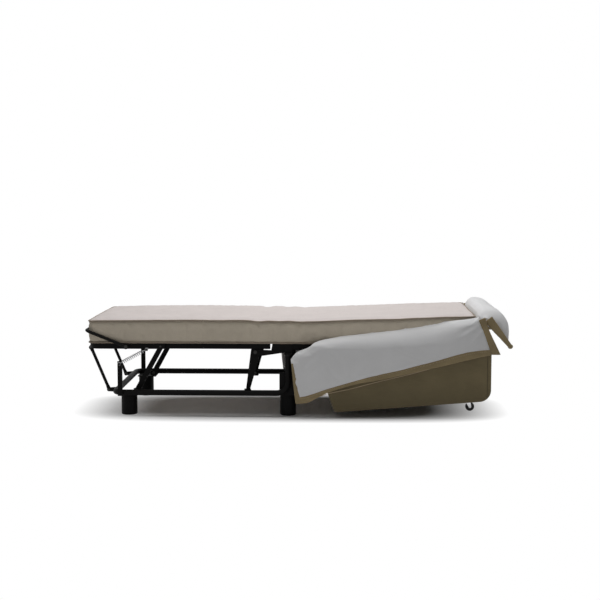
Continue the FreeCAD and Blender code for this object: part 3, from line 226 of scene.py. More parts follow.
finishes = {
    "frame_black": paint("frameBlackPaint", (0.0028, 0.0026, 0.0025), roughness=0.5,
                         wear=(0.010, 0.0095, 0.009), grain=900, shine=0.07),
    "leg_black": paint("legBlackStain", (0.0026, 0.0025, 0.0025), roughness=0.55,
                       wear=(0.008, 0.007, 0.007), grain=400, shine=0.07),
    "spring_steel": metal("springSteel", (0.34, 0.34, 0.35), 0.34),
    "pin_steel": metal("blackenedSteel", (0.035, 0.034, 0.033), 0.45),
    "castor_metal": metal("castorChrome", (0.75, 0.75, 0.76), 0.16),
    "wheel_grey": paint("wheelPlastic", (0.05, 0.05, 0.05), roughness=0.5,
                        wear=(0.12, 0.12, 0.12), grain=300),
    "mattress_cloth": cloth("mattressCanvas", (0.70, 0.638, 0.615), mottle=0.03),
    "cover_cloth": shellCloth("coverTwill", (0.205, 0.166, 0.093)),
    "cover_lining": cloth("coverLining", (0.80, 0.80, 0.805), thread=0.0009, mottle=0.02, weave=0.2),
    "hem_cloth": cloth("hemTwill", (0.32, 0.25, 0.14), thread=0.0013, mottle=0.14, sheen=0.1),
    "slat_wood": timber("slatBirch", (0.42, 0.30, 0.18)),
    "cap_rubber": paint("capRubber", (0.012, 0.012, 0.012), roughness=0.65,
                        wear=(0.03, 0.03, 0.03), grain=500),
}
# copy of the mattress canvas for its upright sides, warmer in tone: painted warm reflected light, as the
# sides are the same canvas as the top
sideWarmLightCloth = cloth("mattressSideWarmLight", (0.70, 0.62, 0.50), mottle=0.05)
pipingCloth = cloth("pipingCord", (0.33, 0.27, 0.21), thread=0.0008, mottle=0.08)
threadCloth = cloth("stitchThread", (0.56, 0.44, 0.30), thread=0.0006, mottle=0.1)
print("finishes made:", len(finishes) + 3)

for row in frame["record"]["subparts"]:
    piece = nodes[row["node"]]
    piece.data.materials.clear()
    piece.data.materials.append(finishes[row["material_slot"]])


# mesh helpers


def finishPiece(name, shape, material, body=None, smooth=True):
    mesh = bpy.data.meshes.new(name)
    shape.to_mesh(mesh)
    shape.free()
    piece = bpy.data.objects.new(name, mesh)
    bpy.context.collection.objects.link(piece)
    mesh.materials.append(material)
    for face in mesh.polygons:
        face.use_smooth = smooth
    if body:
        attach(piece, body)
    return piece


def soften(piece):
    finer = piece.modifiers.new("softer", "SUBSURF")
    finer.levels = finer.render_levels = 1


def cellBox(cells):
    # unit box whose sides are cut into a grid of cells
    shape = bmesh.new()
    bmesh.ops.create_cube(shape, size=1.0)
    for axis, count in enumerate(cells):
        edges = [edge for edge in shape.edges if abs((edge.verts[0].co - edge.verts[1].co)[axis]) > 0.5]
        bmesh.ops.subdivide_edges(shape, edges=edges, cuts=count - 1, use_grid_fill=True)
    return shape


def gridSheet(cells, spot):
    # grid whose points go where spot puts them, from shares 0 to 1 across and down
    shape = bmesh.new()
    bmesh.ops.create_grid(shape, x_segments=cells[0], y_segments=cells[1], size=0.5)
    uvLayer = shape.loops.layers.uv.new("UVMap")
    for face in shape.faces:
        for loop in face.loops:
            loop[uvLayer].uv = (loop.vert.co.x + 0.5, loop.vert.co.y + 0.5)
    for vert in shape.verts:
        vert.co = spot(vert.co.x + 0.5, vert.co.y + 0.5)
    bmesh.ops.recalc_face_normals(shape, faces=shape.faces)
    return shape


def faceSide(shape, side):
    # turns a sheet's faces to the near side, -1, or the far side, 1
    if sum(face.normal.y for face in shape.faces) * side < 0:
        bmesh.ops.reverse_faces(shape, faces=shape.faces)


def thicken(shape, thickness):
    bmesh.ops.solidify(shape, geom=shape.faces[:], thickness=thickness)
    bmesh.ops.recalc_face_normals(shape, faces=shape.faces)


def tubeShape(points, radius, smooth=True):
    curve = bpy.data.curves.new("route", "CURVE")
    curve.dimensions = "3D"
    curve.bevel_depth = radius
    curve.bevel_resolution = 2
    curve.use_fill_caps = True
    curve.resolution_u = 2 if smooth else 1
    spline = curve.splines.new("NURBS" if smooth else "POLY")
    spline.points.add(len(points) - 1)
    for target, spot in zip(spline.points, points):
        target.co = (*spot, 1)
    if smooth:
        spline.order_u = 3
        spline.use_endpoint_u = True
    holder = bpy.data.objects.new("route", curve)
    bpy.context.collection.objects.link(holder)
    bpy.context.view_layer.update()
    seen = holder.evaluated_get(bpy.context.evaluated_depsgraph_get())
    mesh = bpy.data.meshes.new_from_object(seen)
    shape = bmesh.new()
    shape.from_mesh(mesh)
    bmesh.ops.remove_doubles(shape, verts=shape.verts, dist=0.00001)
    bpy.data.objects.remove(holder)
    bpy.data.meshes.remove(mesh)
    bpy.data.curves.remove(curve)
    return shape


def merged(shapes):
    whole = shapes[0]
    for extra in shapes[1:]:
        mesh = bpy.data.meshes.new("extra")
        extra.to_mesh(mesh)
        extra.free()
        whole.from_mesh(mesh)
        bpy.data.meshes.remove(mesh)
    return whole


def along(points, share):
    # smooth curve through the points, by a Catmull-Rom blend
    place = min(max(share, 0.0), 1.0) * (len(points) - 1)
    index = min(int(place), len(points) - 2)
    local = place - index
    a = points[max(index - 1, 0)]
    b, c = points[index], points[index + 1]
    d = points[min(index + 2, len(points) - 1)]
    mixed = []
    for p, q, r, s in zip(a, b, c, d):
        mixed.append(0.5 * (2 * q + (r - p) * local + (2 * p - 5 * q + 4 * r - s) * local ** 2
                            + (3 * q - p - 3 * r + s) * local ** 3))
    return mixed


def ripple(spot, scale, seed=0.0):
    return noise.noise(Vector(spot) * scale + Vector((seed, seed * 0.7, seed * 1.3)))


def ripples(spot, rows):
    # several ripples together, each with its height, its waves to a metre and its seed
    return sum(height * ripple(spot, scale, seed) for height, scale, seed in rows)


puffLook = {"quality": 5, "mass": 0.3, "frames": 20}


def puff(piece, settings, held):
    # inflates a closed piece like padding, with the held vertices kept, and caps every move
    group = piece.vertex_groups.new(name="held")
    for index, weight in held.items():
        group.add([index], weight, "REPLACE")
    start = [vert.co.copy() for vert in piece.data.vertices]
    modifier = piece.modifiers.new("puff", "CLOTH")
    fabric = modifier.settings
    fabric.quality = puffLook["quality"]
    fabric.mass = puffLook["mass"]
    fabric.use_pressure = True
    fabric.uniform_pressure_force = settings["pressure"]
    fabric.effector_weights.gravity = 0
    fabric.vertex_group_mass = "held"
    fabric.shrink_min = settings["shrink"]
    fabric.tension_stiffness = settings["tension"]
    fabric.compression_stiffness = settings["tension"]
    fabric.bending_stiffness = settings["bending"]
    modifier.collision_settings.use_collision = False
    modifier.collision_settings.use_self_collision = False
    modifier.point_cache.frame_start = 1
    modifier.point_cache.frame_end = puffLook["frames"]
    for number in range(1, puffLook["frames"] + 1):
        bpy.context.scene.frame_set(number)
    seen = piece.evaluated_get(bpy.context.evaluated_depsgraph_get())
    moved = [vert.co.copy() for vert in seen.data.vertices]
    piece.modifiers.remove(modifier)
    bpy.context.scene.frame_set(1)
    for vert, old, new in zip(piece.data.vertices, start, moved):
        step = new - old
        if step.length > settings["cap"]:
            step = step.normalized() * settings["cap"]
        vert.co = old + step
    piece.vertex_groups.remove(group)


# camera, fitted to the photograph

cameraLook = {"lens": 73.04, "place": (0.197, -6.489, 1.199), "pitch": 5.56, "yaw": 1.71}
cameraData = bpy.data.cameras.new("photoCamera")
cameraData.sensor_width = 36
cameraData.lens = cameraLook["lens"]
camera = bpy.data.objects.new("photoCamera", cameraData)
camera.location = cameraLook["place"]
camera.rotation_euler = (math.radians(90 - cameraLook["pitch"]), 0, math.radians(cameraLook["yaw"]))
bpy.context.collection.objects.link(camera)
bpy.context.scene.camera = camera
print("camera set")

# mattress: one padded block, split in the middle of the seat into a foot half and a head half

mattress = {
    "foot": -1.067, "head": 0.900, "half": 0.350, "low": 0.3824, "thick": 0.108, "midRise": 0.005,
    "riseStart": 0.065, "headRise": 0.029, "corner": 0.022, "cut": -0.485, "cells": (140, 50, 8),
    "pinch": 0.0035, "pinchReach": 0.006, "belly": 0.002, "bellyWave": (9.0, 5.0), "overhang": 0.0050,
    "crown": 0.006, "crownReach": 0.05, "topWave": (0.0015, 6.0, 2.0), "topWaveReach": 0.1,
    "seamWaves": ((0.0022, 5.0, 3.0), (0.0012, 14.0, 9.0)),
    "dips": ((-0.193, 0.006, 0.03), (-0.077, 0.003, 0.025), (0.014, 0.0035, 0.03)), "dipSlant": 0.02,
    # held while it is puffed: the underside, and a band along each seam within heldEdge of the sides
    "heldFloor": 0.001, "heldEdge": 0.008, "heldTop": 0.009, "heldLow": 0.004, "warmSideSlope": 0.6,
    "pipeRadius": 0.0040, "pipeOut": 0.0012, "pipeSteps": (46, 6, 24),
    "upperPipeSink": 0.0005, "lowerPipeRise": 0.0030, "lowerPipeWave": (0.0006, 12.0, 6.0),
    "puff": {"pressure": 3.5, "cap": 0.007, "shrink": -0.012, "tension": 18, "bending": 1.5},
}


def mattressLow(x):
    share = max(0.0, x - mattress["riseStart"]) / (mattress["head"] - mattress["riseStart"])
    return mattress["low"] + mattress["headRise"] * share


def mattressTop(x):
    share = (x - mattress["foot"]) / (mattress["riseStart"] - mattress["foot"])
    rise = mattress["midRise"] * max(0.0, math.sin(math.pi * min(share, 1.0)))
    return mattressLow(x) + mattress["thick"] + rise


def seamLift(x, y):
    # small waves of the upper seam, and dips where the block folds
    lift = ripples((x, y, 0.0), mattress["seamWaves"])
    for spot, depth, reach in mattress["dips"]:
        lift -= depth * math.exp(-((x - spot - mattress["dipSlant"] * y) / reach) ** 2)
    return lift


def roundPlan(x, y, inset=0.0):
    # pulls the four upright corners in to a rounded plan
    r = mattress["corner"]
    midX = (mattress["foot"] + mattress["head"]) / 2
    halfX = (mattress["head"] - mattress["foot"]) / 2 - inset
    halfY = mattress["half"] - inset
    dx, dy = abs(x - midX) - (halfX - r), abs(y) - (halfY - r)
    if dx > 0 and dy > 0:
        size = max(dx, dy)
        length = math.hypot(dx, dy)
        dx, dy = dx / length * size, dy / length * size
        x = midX + math.copysign(halfX - r + dx, x - midX)
        y = math.copysign(halfY - r + dy, y)
    return x, y


def mattressShape():
    shape = cellBox(mattress["cells"])
    length, half = mattress["head"] - mattress["foot"], mattress["half"]
    for vert in shape.verts:
        a, b, c = vert.co.x + 0.5, vert.co.y * 2, vert.co.z + 0.5
        x, y = mattress["foot"] + a * length, b * half
        onSide = min(a, 1 - a) < 1e-4 or abs(b) > 0.9999
        if onSide:
            near = min(c, 1 - c) * mattress["thick"]
            inset = mattress["pinch"] * math.exp(-(near / mattress["pinchReach"]) ** 2)
            uneven = 1 + ripple((x, y, c), *mattress["bellyWave"])
            inset -= mattress["belly"] * math.sin(math.pi * c) * uneven
            x, y = roundPlan(x, y, inset) if inset > 0 else roundPlan(x, y)
            if abs(b) > 0.9999:
                y = math.copysign(abs(y) - inset, y)
            else:
                x += math.copysign(-inset, a - 0.5)
        else:
            x, y = roundPlan(x, y)
        low, top = mattressLow(x), mattressTop(x) + seamLift(x, y)
        edge = min(length * min(a, 1 - a), half * (1 - abs(b)))
        crown = mattress["crown"] * (1 - math.exp(-edge / mattress["crownReach"]))
        crown += ripples((x, y, 1.0), [mattress["topWave"]]) * min(1.0, edge / mattress["topWaveReach"])
        z = low + (top - low) * c
        if c > 0.9999:
            z += crown
        if onSide:
            z -= mattress["overhang"] * (1 - c) ** 3
        vert.co = (x, y, z)
    bmesh.ops.recalc_face_normals(shape, faces=shape.faces)
    return shape


def perimeter(level, lift, side):
    # route of the piping on one side of the cut, from the cut round the end and back to the cut
    r, half = mattress["corner"], mattress["half"] + mattress["pipeOut"]
    end = mattress["foot"] - mattress["pipeOut"] if side < 0 else mattress["head"] + mattress["pipeOut"]
    inner = end - side * r
    route = []
    sideSteps, cornerSteps, endSteps = mattress["pipeSteps"]
    for step in range(sideSteps + 1):
        route.append((mattress["cut"] + (inner - mattress["cut"]) * step / sideSteps, -half))
    for step in range(1, cornerSteps):
        angle = math.pi / 2 * step / cornerSteps
        route.append((inner + side * r * math.sin(angle), -half + r - r * math.cos(angle)))
    for step in range(endSteps + 1):
        route.append((end, -half + r + 2 * (half - r) * step / endSteps))
    for step in range(1, cornerSteps):
        angle = math.pi / 2 * step / cornerSteps
        route.append((end - side * r * (1 - math.cos(angle)), half - r + r * math.sin(angle)))
    for step in range(sideSteps + 1):
        route.append((inner + (mattress["cut"] - inner) * step / sideSteps, half))
    return [(x, y, level(x) + lift(x, y)) for x, y in route]


def upperLift(x, y):
    return seamLift(x, y) - mattress["upperPipeSink"]


def lowerLift(x, y):
    return mattress["lowerPipeRise"] - mattress["overhang"] + ripples((x, y, 0), [mattress["lowerPipeWave"]])


def buildMattress():
    block = finishPiece("mattressBlock", mattressShape(), finishes["mattress_cloth"])
    held = {}
    for vert in block.data.vertices:
        x, y, z = vert.co
        low, top = mattressLow(x), mattressTop(x) + seamLift(x, y)
        inwards = min(x - mattress["foot"], mattress["head"] - x, mattress["half"] - abs(y))
        nearSeam = z > top - mattress["heldTop"] or z < low + mattress["heldLow"]
        if z < low + mattress["heldFloor"] or (inwards < mattress["heldEdge"] and nearSeam):
            held[vert.index] = 1.0
    puff(block, mattress["puff"], held)
    halves = []
    for name, side in (("mattressFootHalf", -1), ("mattressHeadHalf", 1)):
        shape = bmesh.new()
        shape.from_mesh(block.data)
        bmesh.ops.bisect_plane(shape, geom=shape.verts[:] + shape.edges[:] + shape.faces[:], dist=1e-6,
                               plane_co=(mattress["cut"], 0, 0), plane_no=(side, 0, 0), clear_inner=True)
        rim = [edge for edge in shape.edges if edge.is_boundary]
        for edge in rim:
            edge.smooth = False
        bmesh.ops.holes_fill(shape, edges=rim, sides=0)
        shape.normal_update()
        for face in shape.faces:
            # upright faces take the warmer copy of the canvas: painted warm reflected light on the sides
            if abs(face.normal.z) < mattress["warmSideSlope"]:
                face.material_index = 1
        half = finishPiece(name, shape, finishes["mattress_cloth"])
        half.data.materials.append(sideWarmLightCloth)
        halves.append(half)
    bpy.data.objects.remove(block)
    pipes = []
    for name, side in (("footPiping", -1), ("headPiping", 1)):
        routes = (perimeter(mattressTop, upperLift, side), perimeter(mattressLow, lowerLift, side))
        shape = merged([tubeShape(route, mattress["pipeRadius"]) for route in routes])
        pipes.append(finishPiece(name, shape, pipingCloth))
    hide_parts("mattress_foot", "mattress_fold_front", "mattress_seat")
    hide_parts("mattress_fold_rear", "mattress_head")
    for piece in (halves[0], pipes[0]):
        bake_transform(piece)
    for piece in (halves[1], pipes[1]):
        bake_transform(piece)


buildMattress()
print("mattress made")

# wedge pad under the head length

wedgePad = {
    "start": 0.152, "end": 0.893, "half": 0.343, "floor": 0.3817, "gap": 0.0006, "belly": 0.003,
    "cells": (61, 41, 2),
}


def buildWedge():
    shape = cellBox(wedgePad["cells"])
    for vert in shape.verts:
        a, b, c = vert.co.x + 0.5, vert.co.y * 2, vert.co.z + 0.5
        x = wedgePad["start"] + a * (wedgePad["end"] - wedgePad["start"])
        top = mattressLow(x) - wedgePad["gap"]
        onSide = min(a, 1 - a) < 1e-4 or abs(b) > 0.9999
        bulge = wedgePad["belly"] * math.sin(math.pi * c) if onSide else 0.0
        y = b * (wedgePad["half"] + bulge)
        vert.co = (x + math.copysign(bulge, a - 0.5), y, wedgePad["floor"] + (top - wedgePad["floor"]) * c)
    bmesh.ops.recalc_face_normals(shape, faces=shape.faces)
    piece = finishPiece("wedgePad", shape, finishes["mattress_cloth"], "back")
    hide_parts("head_pad")


buildWedge()
print("wedge pad made")

# loose cover: side flaps with the pale lining outwards, folded hems, and a padded arch over the head end

cover = {
    "lean": 0.352, "hang": 0.4005, "knee": 0.374, "leanRise": 0.060, "spreadStart": 0.700, "spreadEnd": 0.903,
    "leanGap": 0.0006, "headHalf": 0.392, "thick": 0.010, "cells": (110, 40), "crowding": 1.5,
    "liftShare": 0.9,
    "tops": ((-0.034, 0.302), (0.000, 0.342), (0.053, 0.363), (0.111, 0.397), (0.292, 0.429), (0.393, 0.443),
             (0.519, 0.459), (0.720, 0.493), (0.845, 0.508), (0.915, 0.522)),
    "lows": ((-0.008, 0.100), (0.026, 0.108), (0.086, 0.124), (0.152, 0.148), (0.288, 0.190), (0.419, 0.224),
             (0.560, 0.257), (0.740, 0.307), (0.860, 0.339), (0.972, 0.353)),
    "shifts": (0.092, 0.078, 0.058, 0.030, 0, 0, 0, 0, 0, 0),
    "roll": 0.024, "endRoll": 1.6, "endRollFrom": 0.3, "endRollGrowth": 5,
    "folds": ((0.10, 0.05, 0.002), (0.33, 0.09, 0.0015), (0.62, 0.12, 0.002), (0.88, -0.10, 0.003)),
    "foldWidth": 0.03, "foldFade": (0.9, 0.05), "dragMiddle": 0.45, "dragReach": 0.42,
    "calm": (0.0012, 7.0, 4.0),
    # cut sizes: longest edge, longest drop with the rolled rim, and area of the smooth panel with its rim
    "flatNear": (1.014, 0.275, 0.234), "flatFar": (1.103, 0.275, 0.258),
    # each drag fold: its two ends, height and width
    "drags": (((0.940, 0.495), (0.800, 0.405), 0.0050, 0.010),
              ((0.948, 0.478), (0.868, 0.372), 0.0055, 0.009),
              ((0.905, 0.500), (0.640, 0.420), 0.0030, 0.014),
              ((0.020, 0.230), (0.140, 0.330), 0.0030, 0.016)),
    "puff": {"pressure": 5.0, "cap": 0.005, "shrink": 0.0, "tension": 14, "bending": 0.8},
}


def slid(points, side):
    # the far flap reaches further towards the foot end than the near one
    if side < 0:
        return points
    return [(x - shift, z) for (x, z), shift in zip(points, cover["shifts"])]


def coverPlane(top, z):
    if z <= cover["knee"] or top[1] <= cover["knee"]:
        return cover["hang"]
    ahead = min(1.0, max(0.0, (top[0] - cover["spreadStart"]) / (cover["spreadEnd"] - cover["spreadStart"])))
    lean = cover["lean"] + (cover["headHalf"] + cover["leanGap"] - cover["lean"]) * ahead
    share = (z - cover["knee"]) / (top[1] - cover["knee"])
    reach = min(1.0, (top[1] - cover["knee"]) / cover["leanRise"])
    return cover["hang"] - (cover["hang"] - lean) * reach * share ** 2


def panelSpot(side, u, v, lift=0.0):
    top, low = along(slid(cover["tops"], side), u), along(slid(cover["lows"], side), u)
    x = top[0] + (low[0] - top[0]) * v
    z = top[1] + (low[1] - top[1]) * v
    y = coverPlane(top, z)
    down = v * math.hypot(top[0] - low[0], top[1] - low[1])
    inwards = min(u, 1 - u) * cover["endRoll"]
    if v >= cover["endRollFrom"]:
        inwards += cover["roll"] * min(1.0, (v - cover["endRollFrom"]) * cover["endRollGrowth"])
    for reach in (down, inwards):
        if reach < cover["roll"]:
            y -= cover["roll"] * (1 - math.sqrt(max(0.0, 1 - (1 - reach / cover["roll"]) ** 2)))
    fold = 0.0
    for start, lean, depth in cover["folds"]:
        fold += depth * math.exp(-((u - start - lean * v) / cover["foldWidth"]) ** 2)
    fold *= math.sin(math.pi * min(1.0, max(0.0, v * cover["foldFade"][0] + cover["foldFade"][1])))
    for (ax, az), (bx, bz), height, width in cover["drags"]:
        length = math.hypot(bx - ax, bz - az)
        run = ((x - ax) * (bx - ax) + (z - az) * (bz - az)) / length / length
        off = ((x - ax) * (bz - az) - (z - az) * (bx - ax)) / length
        ending = math.exp(-((run - cover["dragMiddle"]) / cover["dragReach"]) ** 4)
        fold += height * math.exp(-(off / width) ** 2) * ending
    fold += cover["calm"][0] * (1 + ripple((x, z, side), *cover["calm"][1:]))
    return Vector((x, side * (y + lift + fold), z))


def buildPanel(name, side, node):
    def spot(u, v):
        return panelSpot(side, u, v ** cover["crowding"], cover["thick"] * cover["liftShare"])

    shape = gridSheet(cover["cells"], spot)
    faceSide(shape, side)
    count = len(shape.verts)
    edges = {vert.index for vert in shape.verts if vert.is_boundary}
    thicken(shape, cover["thick"])
    piece = finishPiece(name, shape, finishes["cover_lining"])
    points = piece.data.vertices
    firstReach = sum(abs(vert.co.y) for vert in points[:count]) / count
    secondReach = sum(abs(vert.co.y) for vert in points[count:]) / (len(points) - count)
    firstOut = firstReach > secondReach  # the outer skin is puffed, the inner one stays
    held = {vert.index: 1.0 for vert in points if (vert.index < count) != firstOut or vert.index in edges}
    puff(piece, cover["puff"], held)
    soften(piece)
    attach(piece, "back")
    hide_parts(node)
    return piece


hems = {
    "thick": 0.0085, "out": 0.0060, "cells": (120, 5), "footCells": (24, 4), "footShare": 0.9,
    "strapCells": (30, 5), "strapTop": 0.546, "strapOut": 0.008,
    "crown": (0.75, 0.25), "waves": ((0.0012, 16.0, 1.0), (0.0007, 45.0, 8.0)),
    "edgeWave": (0.001, 20.0, 7.0),
    "cordSteps": 60, "cordOut": 0.004, "cordRadius": 0.0016,
    "stitches": 110, "stitchSpan": (0.2, 0.75), "stitchShare": 0.28, "stitchOut": 0.0004,
    "stitchRadius": 0.0006,
    "upper": ((0.015, 0.115), (0.046, 0.121), (0.093, 0.135), (0.152, 0.156), (0.288, 0.197), (0.419, 0.232),
              (0.560, 0.265), (0.740, 0.315), (0.860, 0.347), (0.970, 0.360)),
    "lower": ((-0.008, 0.078), (0.050, 0.082), (0.096, 0.104), (0.152, 0.133), (0.288, 0.177), (0.419, 0.201),
              (0.565, 0.234), (0.754, 0.278), (0.872, 0.307), (0.981, 0.332)),
    # pairs of points, one on each edge, from the top down
    "foot": (((-0.030, 0.285), (0.000, 0.285)), ((-0.026, 0.240), (0.004, 0.240)),
             ((-0.018, 0.160), (0.011, 0.160)), ((-0.008, 0.078), (0.017, 0.112))),
    "strap": (((0.910, 0.507), (0.945, 0.522)), ((0.921, 0.480), (0.955, 0.486)),
              ((0.938, 0.440), (0.973, 0.440)), ((0.957, 0.388), (0.998, 0.388)),
              ((0.968, 0.360), (1.011, 0.360)), ((0.978, 0.333), (1.024, 0.333))),
    "cord": ((0.070, 0.098), (0.152, 0.130), (0.268, 0.156), (0.419, 0.196), (0.570, 0.233), (0.720, 0.275),
             (0.869, 0.316), (0.945, 0.330), (0.978, 0.334)),
}


def stripShape(side, first, second, distance, cells, thick):
    # flat folded strip between two edge lines, standing proud of the panel
    def spot(u, v):
        a, b = along(first, u), along(second, u)
        x, z = a[0] + (b[0] - a[0]) * v, a[1] + (b[1] - a[1]) * v
        y = distance(z) + thick * (hems["crown"][0] + hems["crown"][1] * math.sin(math.pi * v))
        y += ripples((x, z, side), hems["waves"])
        z += ripples((x, side, v), [hems["edgeWave"]])
        return Vector((x, side * y, z))

    shape = gridSheet(cells, spot)
    faceSide(shape, side)
    thicken(shape, thick)
    return shape


def buildHems(side):
    label = "Near" if side < 0 else "Far"
    upper, lower = slid(hems["upper"], side), slid(hems["lower"], side)
    flat = cover["hang"] + hems["out"]

    def hangPlane(z):
        return flat

    def strapPlane(z):
        return coverPlane((cover["spreadEnd"], hems["strapTop"]), z) + hems["strapOut"]

    long = stripShape(side, upper, lower, hangPlane, hems["cells"], hems["thick"])
    back = cover["shifts"][0] if side > 0 else 0
    outer = [(a[0] - back, a[1]) for a, b in hems["foot"]]
    inner = [(b[0] - back, b[1]) for a, b in hems["foot"]]
    foot = stripShape(side, outer, inner, hangPlane, hems["footCells"], hems["thick"] * hems["footShare"])
    outer, inner = [a for a, b in hems["strap"]], [b for a, b in hems["strap"]]
    strap = stripShape(side, outer, inner, strapPlane, hems["strapCells"], hems["thick"])
    piece = finishPiece("coverHems" + label, merged([long, foot, strap]), finishes["hem_cloth"])
    soften(piece)
    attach(piece, "back")
    route = [along(hems["cord"], step / hems["cordSteps"]) for step in range(hems["cordSteps"] + 1)]
    cord = [(x, side * (flat + hems["cordOut"]), z) for x, z in route]
    finishPiece("hemCord" + label, tubeShape(cord, hems["cordRadius"]), threadCloth, "back")
    stitchLine("hemStitch" + label, upper, lower, side * (flat + (hems["thick"] + hems["stitchOut"])))
    return piece


def stitchLine(name, first, second, y):
    # row of short raised stitches along a strip
    shapes = []
    for step in range(hems["stitches"]):
        ends = []
        for part in hems["stitchSpan"]:
            u = (step + part) / hems["stitches"]
            a, b = along(first, u), along(second, u)
            x, z = [p + (q - p) * hems["stitchShare"] for p, q in zip(a, b)]
            ends.append((x, y, z))
        shapes.append(tubeShape(ends, hems["stitchRadius"], smooth=False))
    finishPiece(name, merged(shapes), threadCloth, "back")


nearHems = buildHems(-1)
farHems = buildHems(1)
nearPanel = buildPanel("coverPanelNear", -1, "cover_flap_left")
farPanel = buildPanel("coverPanelFar", 1, "cover_flap_right")
print("side flaps made")

headArch = {
    "half": 0.392, "flat": 0.290, "droop": 0.78, "thick": 0.015, "low": 0.376, "crest": (0.960, 0.455),
    "radius": 0.106, "frontZ": 0.522, "frontRadius": 0.040, "lowX": 0.932, "frontPull": 0.004,
    "frontBend": 0.45, "backPull": 0.0005, "backRise": 0.010, "cells": (90, 56),
    "waves": ((0.0035, 6.0, 12.0), (0.0015, 17.0, 2.0)), "waveLift": 0.6, "heldRise": 0.01,
    "close": 0.060, "chord": ((0.938, 0.470), (0.962, 0.516), (1.066, 0.382)), "frontShare": 0.33,
    "puff": {"pressure": 5.0, "cap": 0.006, "shrink": -0.015, "tension": 12, "bending": 0.5},
}


def arcPoints(middle, radius, angles):
    turns = [math.radians(angle) for angle in angles]
    return [(middle[0] + radius * math.cos(turn), middle[1] + radius * math.sin(turn)) for turn in turns]


def archLine(share):
    # profile of the arch: up the front, over the crest and down the back
    x, z = headArch["crest"]
    points = [(headArch["lowX"], headArch["low"])]
    points.append((headArch["lowX"] - headArch["frontPull"], headArch["frontBend"]))
    points += arcPoints((x, headArch["frontZ"]), headArch["frontRadius"], (180, 150, 120, 90))
    points += arcPoints((x, z), headArch["radius"], (67, 45, 22, 0))
    points.append((x + headArch["radius"] + headArch["backPull"], headArch["low"] + headArch["backRise"]))
    return along(points, share)


def endClosure(y):
    # 0 in the middle, 1 at the very end, in the shape of a rounded pillow end
    share = max(0.0, abs(y) - (headArch["half"] - headArch["close"])) / headArch["close"]
    return 1 - math.sqrt(max(0.0, 1 - min(1.0, share) ** 2))


def chordSpot(share):
    # where the profile lands on the end: gathered at the front, then along the strap
    a, b, c = headArch["chord"]
    front = headArch["frontShare"]
    if share < front:
        return [p + (q - p) * share / front for p, q in zip(a, b)]
    local = (share - front) / (1 - front)
    return [p + (q - p) * local for p, q in zip(b, c)]


def archHeight(y):
    outer = max(0.0, abs(y) - headArch["flat"]) / (headArch["half"] - headArch["flat"])
    return 1 - (1 - headArch["droop"]) * outer ** 2


def buildArch():
    def spot(u, v):
        y = (u - 0.5) * 2 * headArch["half"]
        x, z = archLine(v)
        z = headArch["low"] + (z - headArch["low"]) * archHeight(y)
        close = endClosure(y)
        endX, endZ = chordSpot(v)
        x, z = x + (endX - x) * close, z + (endZ - z) * close
        wave = ripples((x, y, z), headArch["waves"])
        return Vector((x + wave, y, z + wave * headArch["waveLift"]))

    shape = gridSheet(headArch["cells"], spot)
    middle = Vector((headArch["crest"][0], 0, headArch["crest"][1]))
    if sum((face.calc_center_median() - middle).dot(face.normal) for face in shape.faces) < 0:
        bmesh.ops.reverse_faces(shape, faces=shape.faces)
    thicken(shape, headArch["thick"])
    piece = finishPiece("headArch", shape, finishes["cover_lining"])
    heldTop = headArch["low"] + headArch["heldRise"]
    held = {vert.index: 1.0 for vert in piece.data.vertices if vert.co.z < heldTop}
    puff(piece, headArch["puff"], held)
    soften(piece)
    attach(piece, "back")
    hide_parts("head_cover")
    return piece


headPiece = buildArch()

# strap down each end of the arch, with a rounded tip; upper and lower are X, Z and half the width
headHem = {
    "upper": (0.960, 0.512, 0.024), "lower": (1.072, 0.374, 0.0135), "taper": 0.85, "inner": 0.3935,
    "out": 0.001, "thick": 0.010, "cells": (40, 6),
    "knobCells": (20, 12), "knobSquash": (0.55, 0.9), "knobOut": 0.55,
}


def buildHeadHem(side):
    a = Vector((headHem["upper"][0], 0, headHem["upper"][1]))
    b = Vector((headHem["lower"][0], 0, headHem["lower"][1]))
    way = (b - a).normalized()
    across = Vector((way.z, 0, -way.x))
    first, second = [], []
    for share in (0.0, 0.25, 0.5, 0.75, 1.0):
        middle = a.lerp(b, share)
        reach = headHem["upper"][2] + (headHem["lower"][2] * headHem["taper"] - headHem["upper"][2]) * share
        first.append(tuple((middle + across * reach).xz))
        second.append(tuple((middle - across * reach).xz))

    def strapPlane(z):
        return headHem["inner"] + headHem["out"]

    band = stripShape(side, first, second, strapPlane, headHem["cells"], headHem["thick"])
    knob = bmesh.new()
    turns, rings = headHem["knobCells"]
    bmesh.ops.create_uvsphere(knob, u_segments=turns, v_segments=rings, radius=headHem["lower"][2])
    tip = Vector((b.x, side * (headHem["inner"] + headHem["thick"] * headHem["knobOut"]), b.z))
    flatter, lower = headHem["knobSquash"]
    for vert in knob.verts:
        vert.co = Vector((vert.co.x, vert.co.y * flatter, vert.co.z * lower)) + tip
    name = "headHemNear" if side < 0 else "headHemFar"
    piece = finishPiece(name, merged([band, knob]), finishes["hem_cloth"])
    soften(piece)
    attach(piece, "back")


for side in (-1, 1):
    buildHeadHem(side)
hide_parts("cover_hems")
print("head arch made")

# floor, world and lamps

# patch, shift and fade place the stretch of floor that keeps its shadow; beyond it the camera sees white
stageLook = {
    "floorSize": 14.0, "floorLow": 0.0005, "floorWhite": 0.9, "patch": (1.03, 0.39), "shift": (0.04, 0.19),
    "fade": (0.25, 1.5), "worldFill": 0.16,
    "lamp": 62.0, "lampSize": (3.4, 2.2), "lampPlace": (0.0, 0.1, 2.7),
}


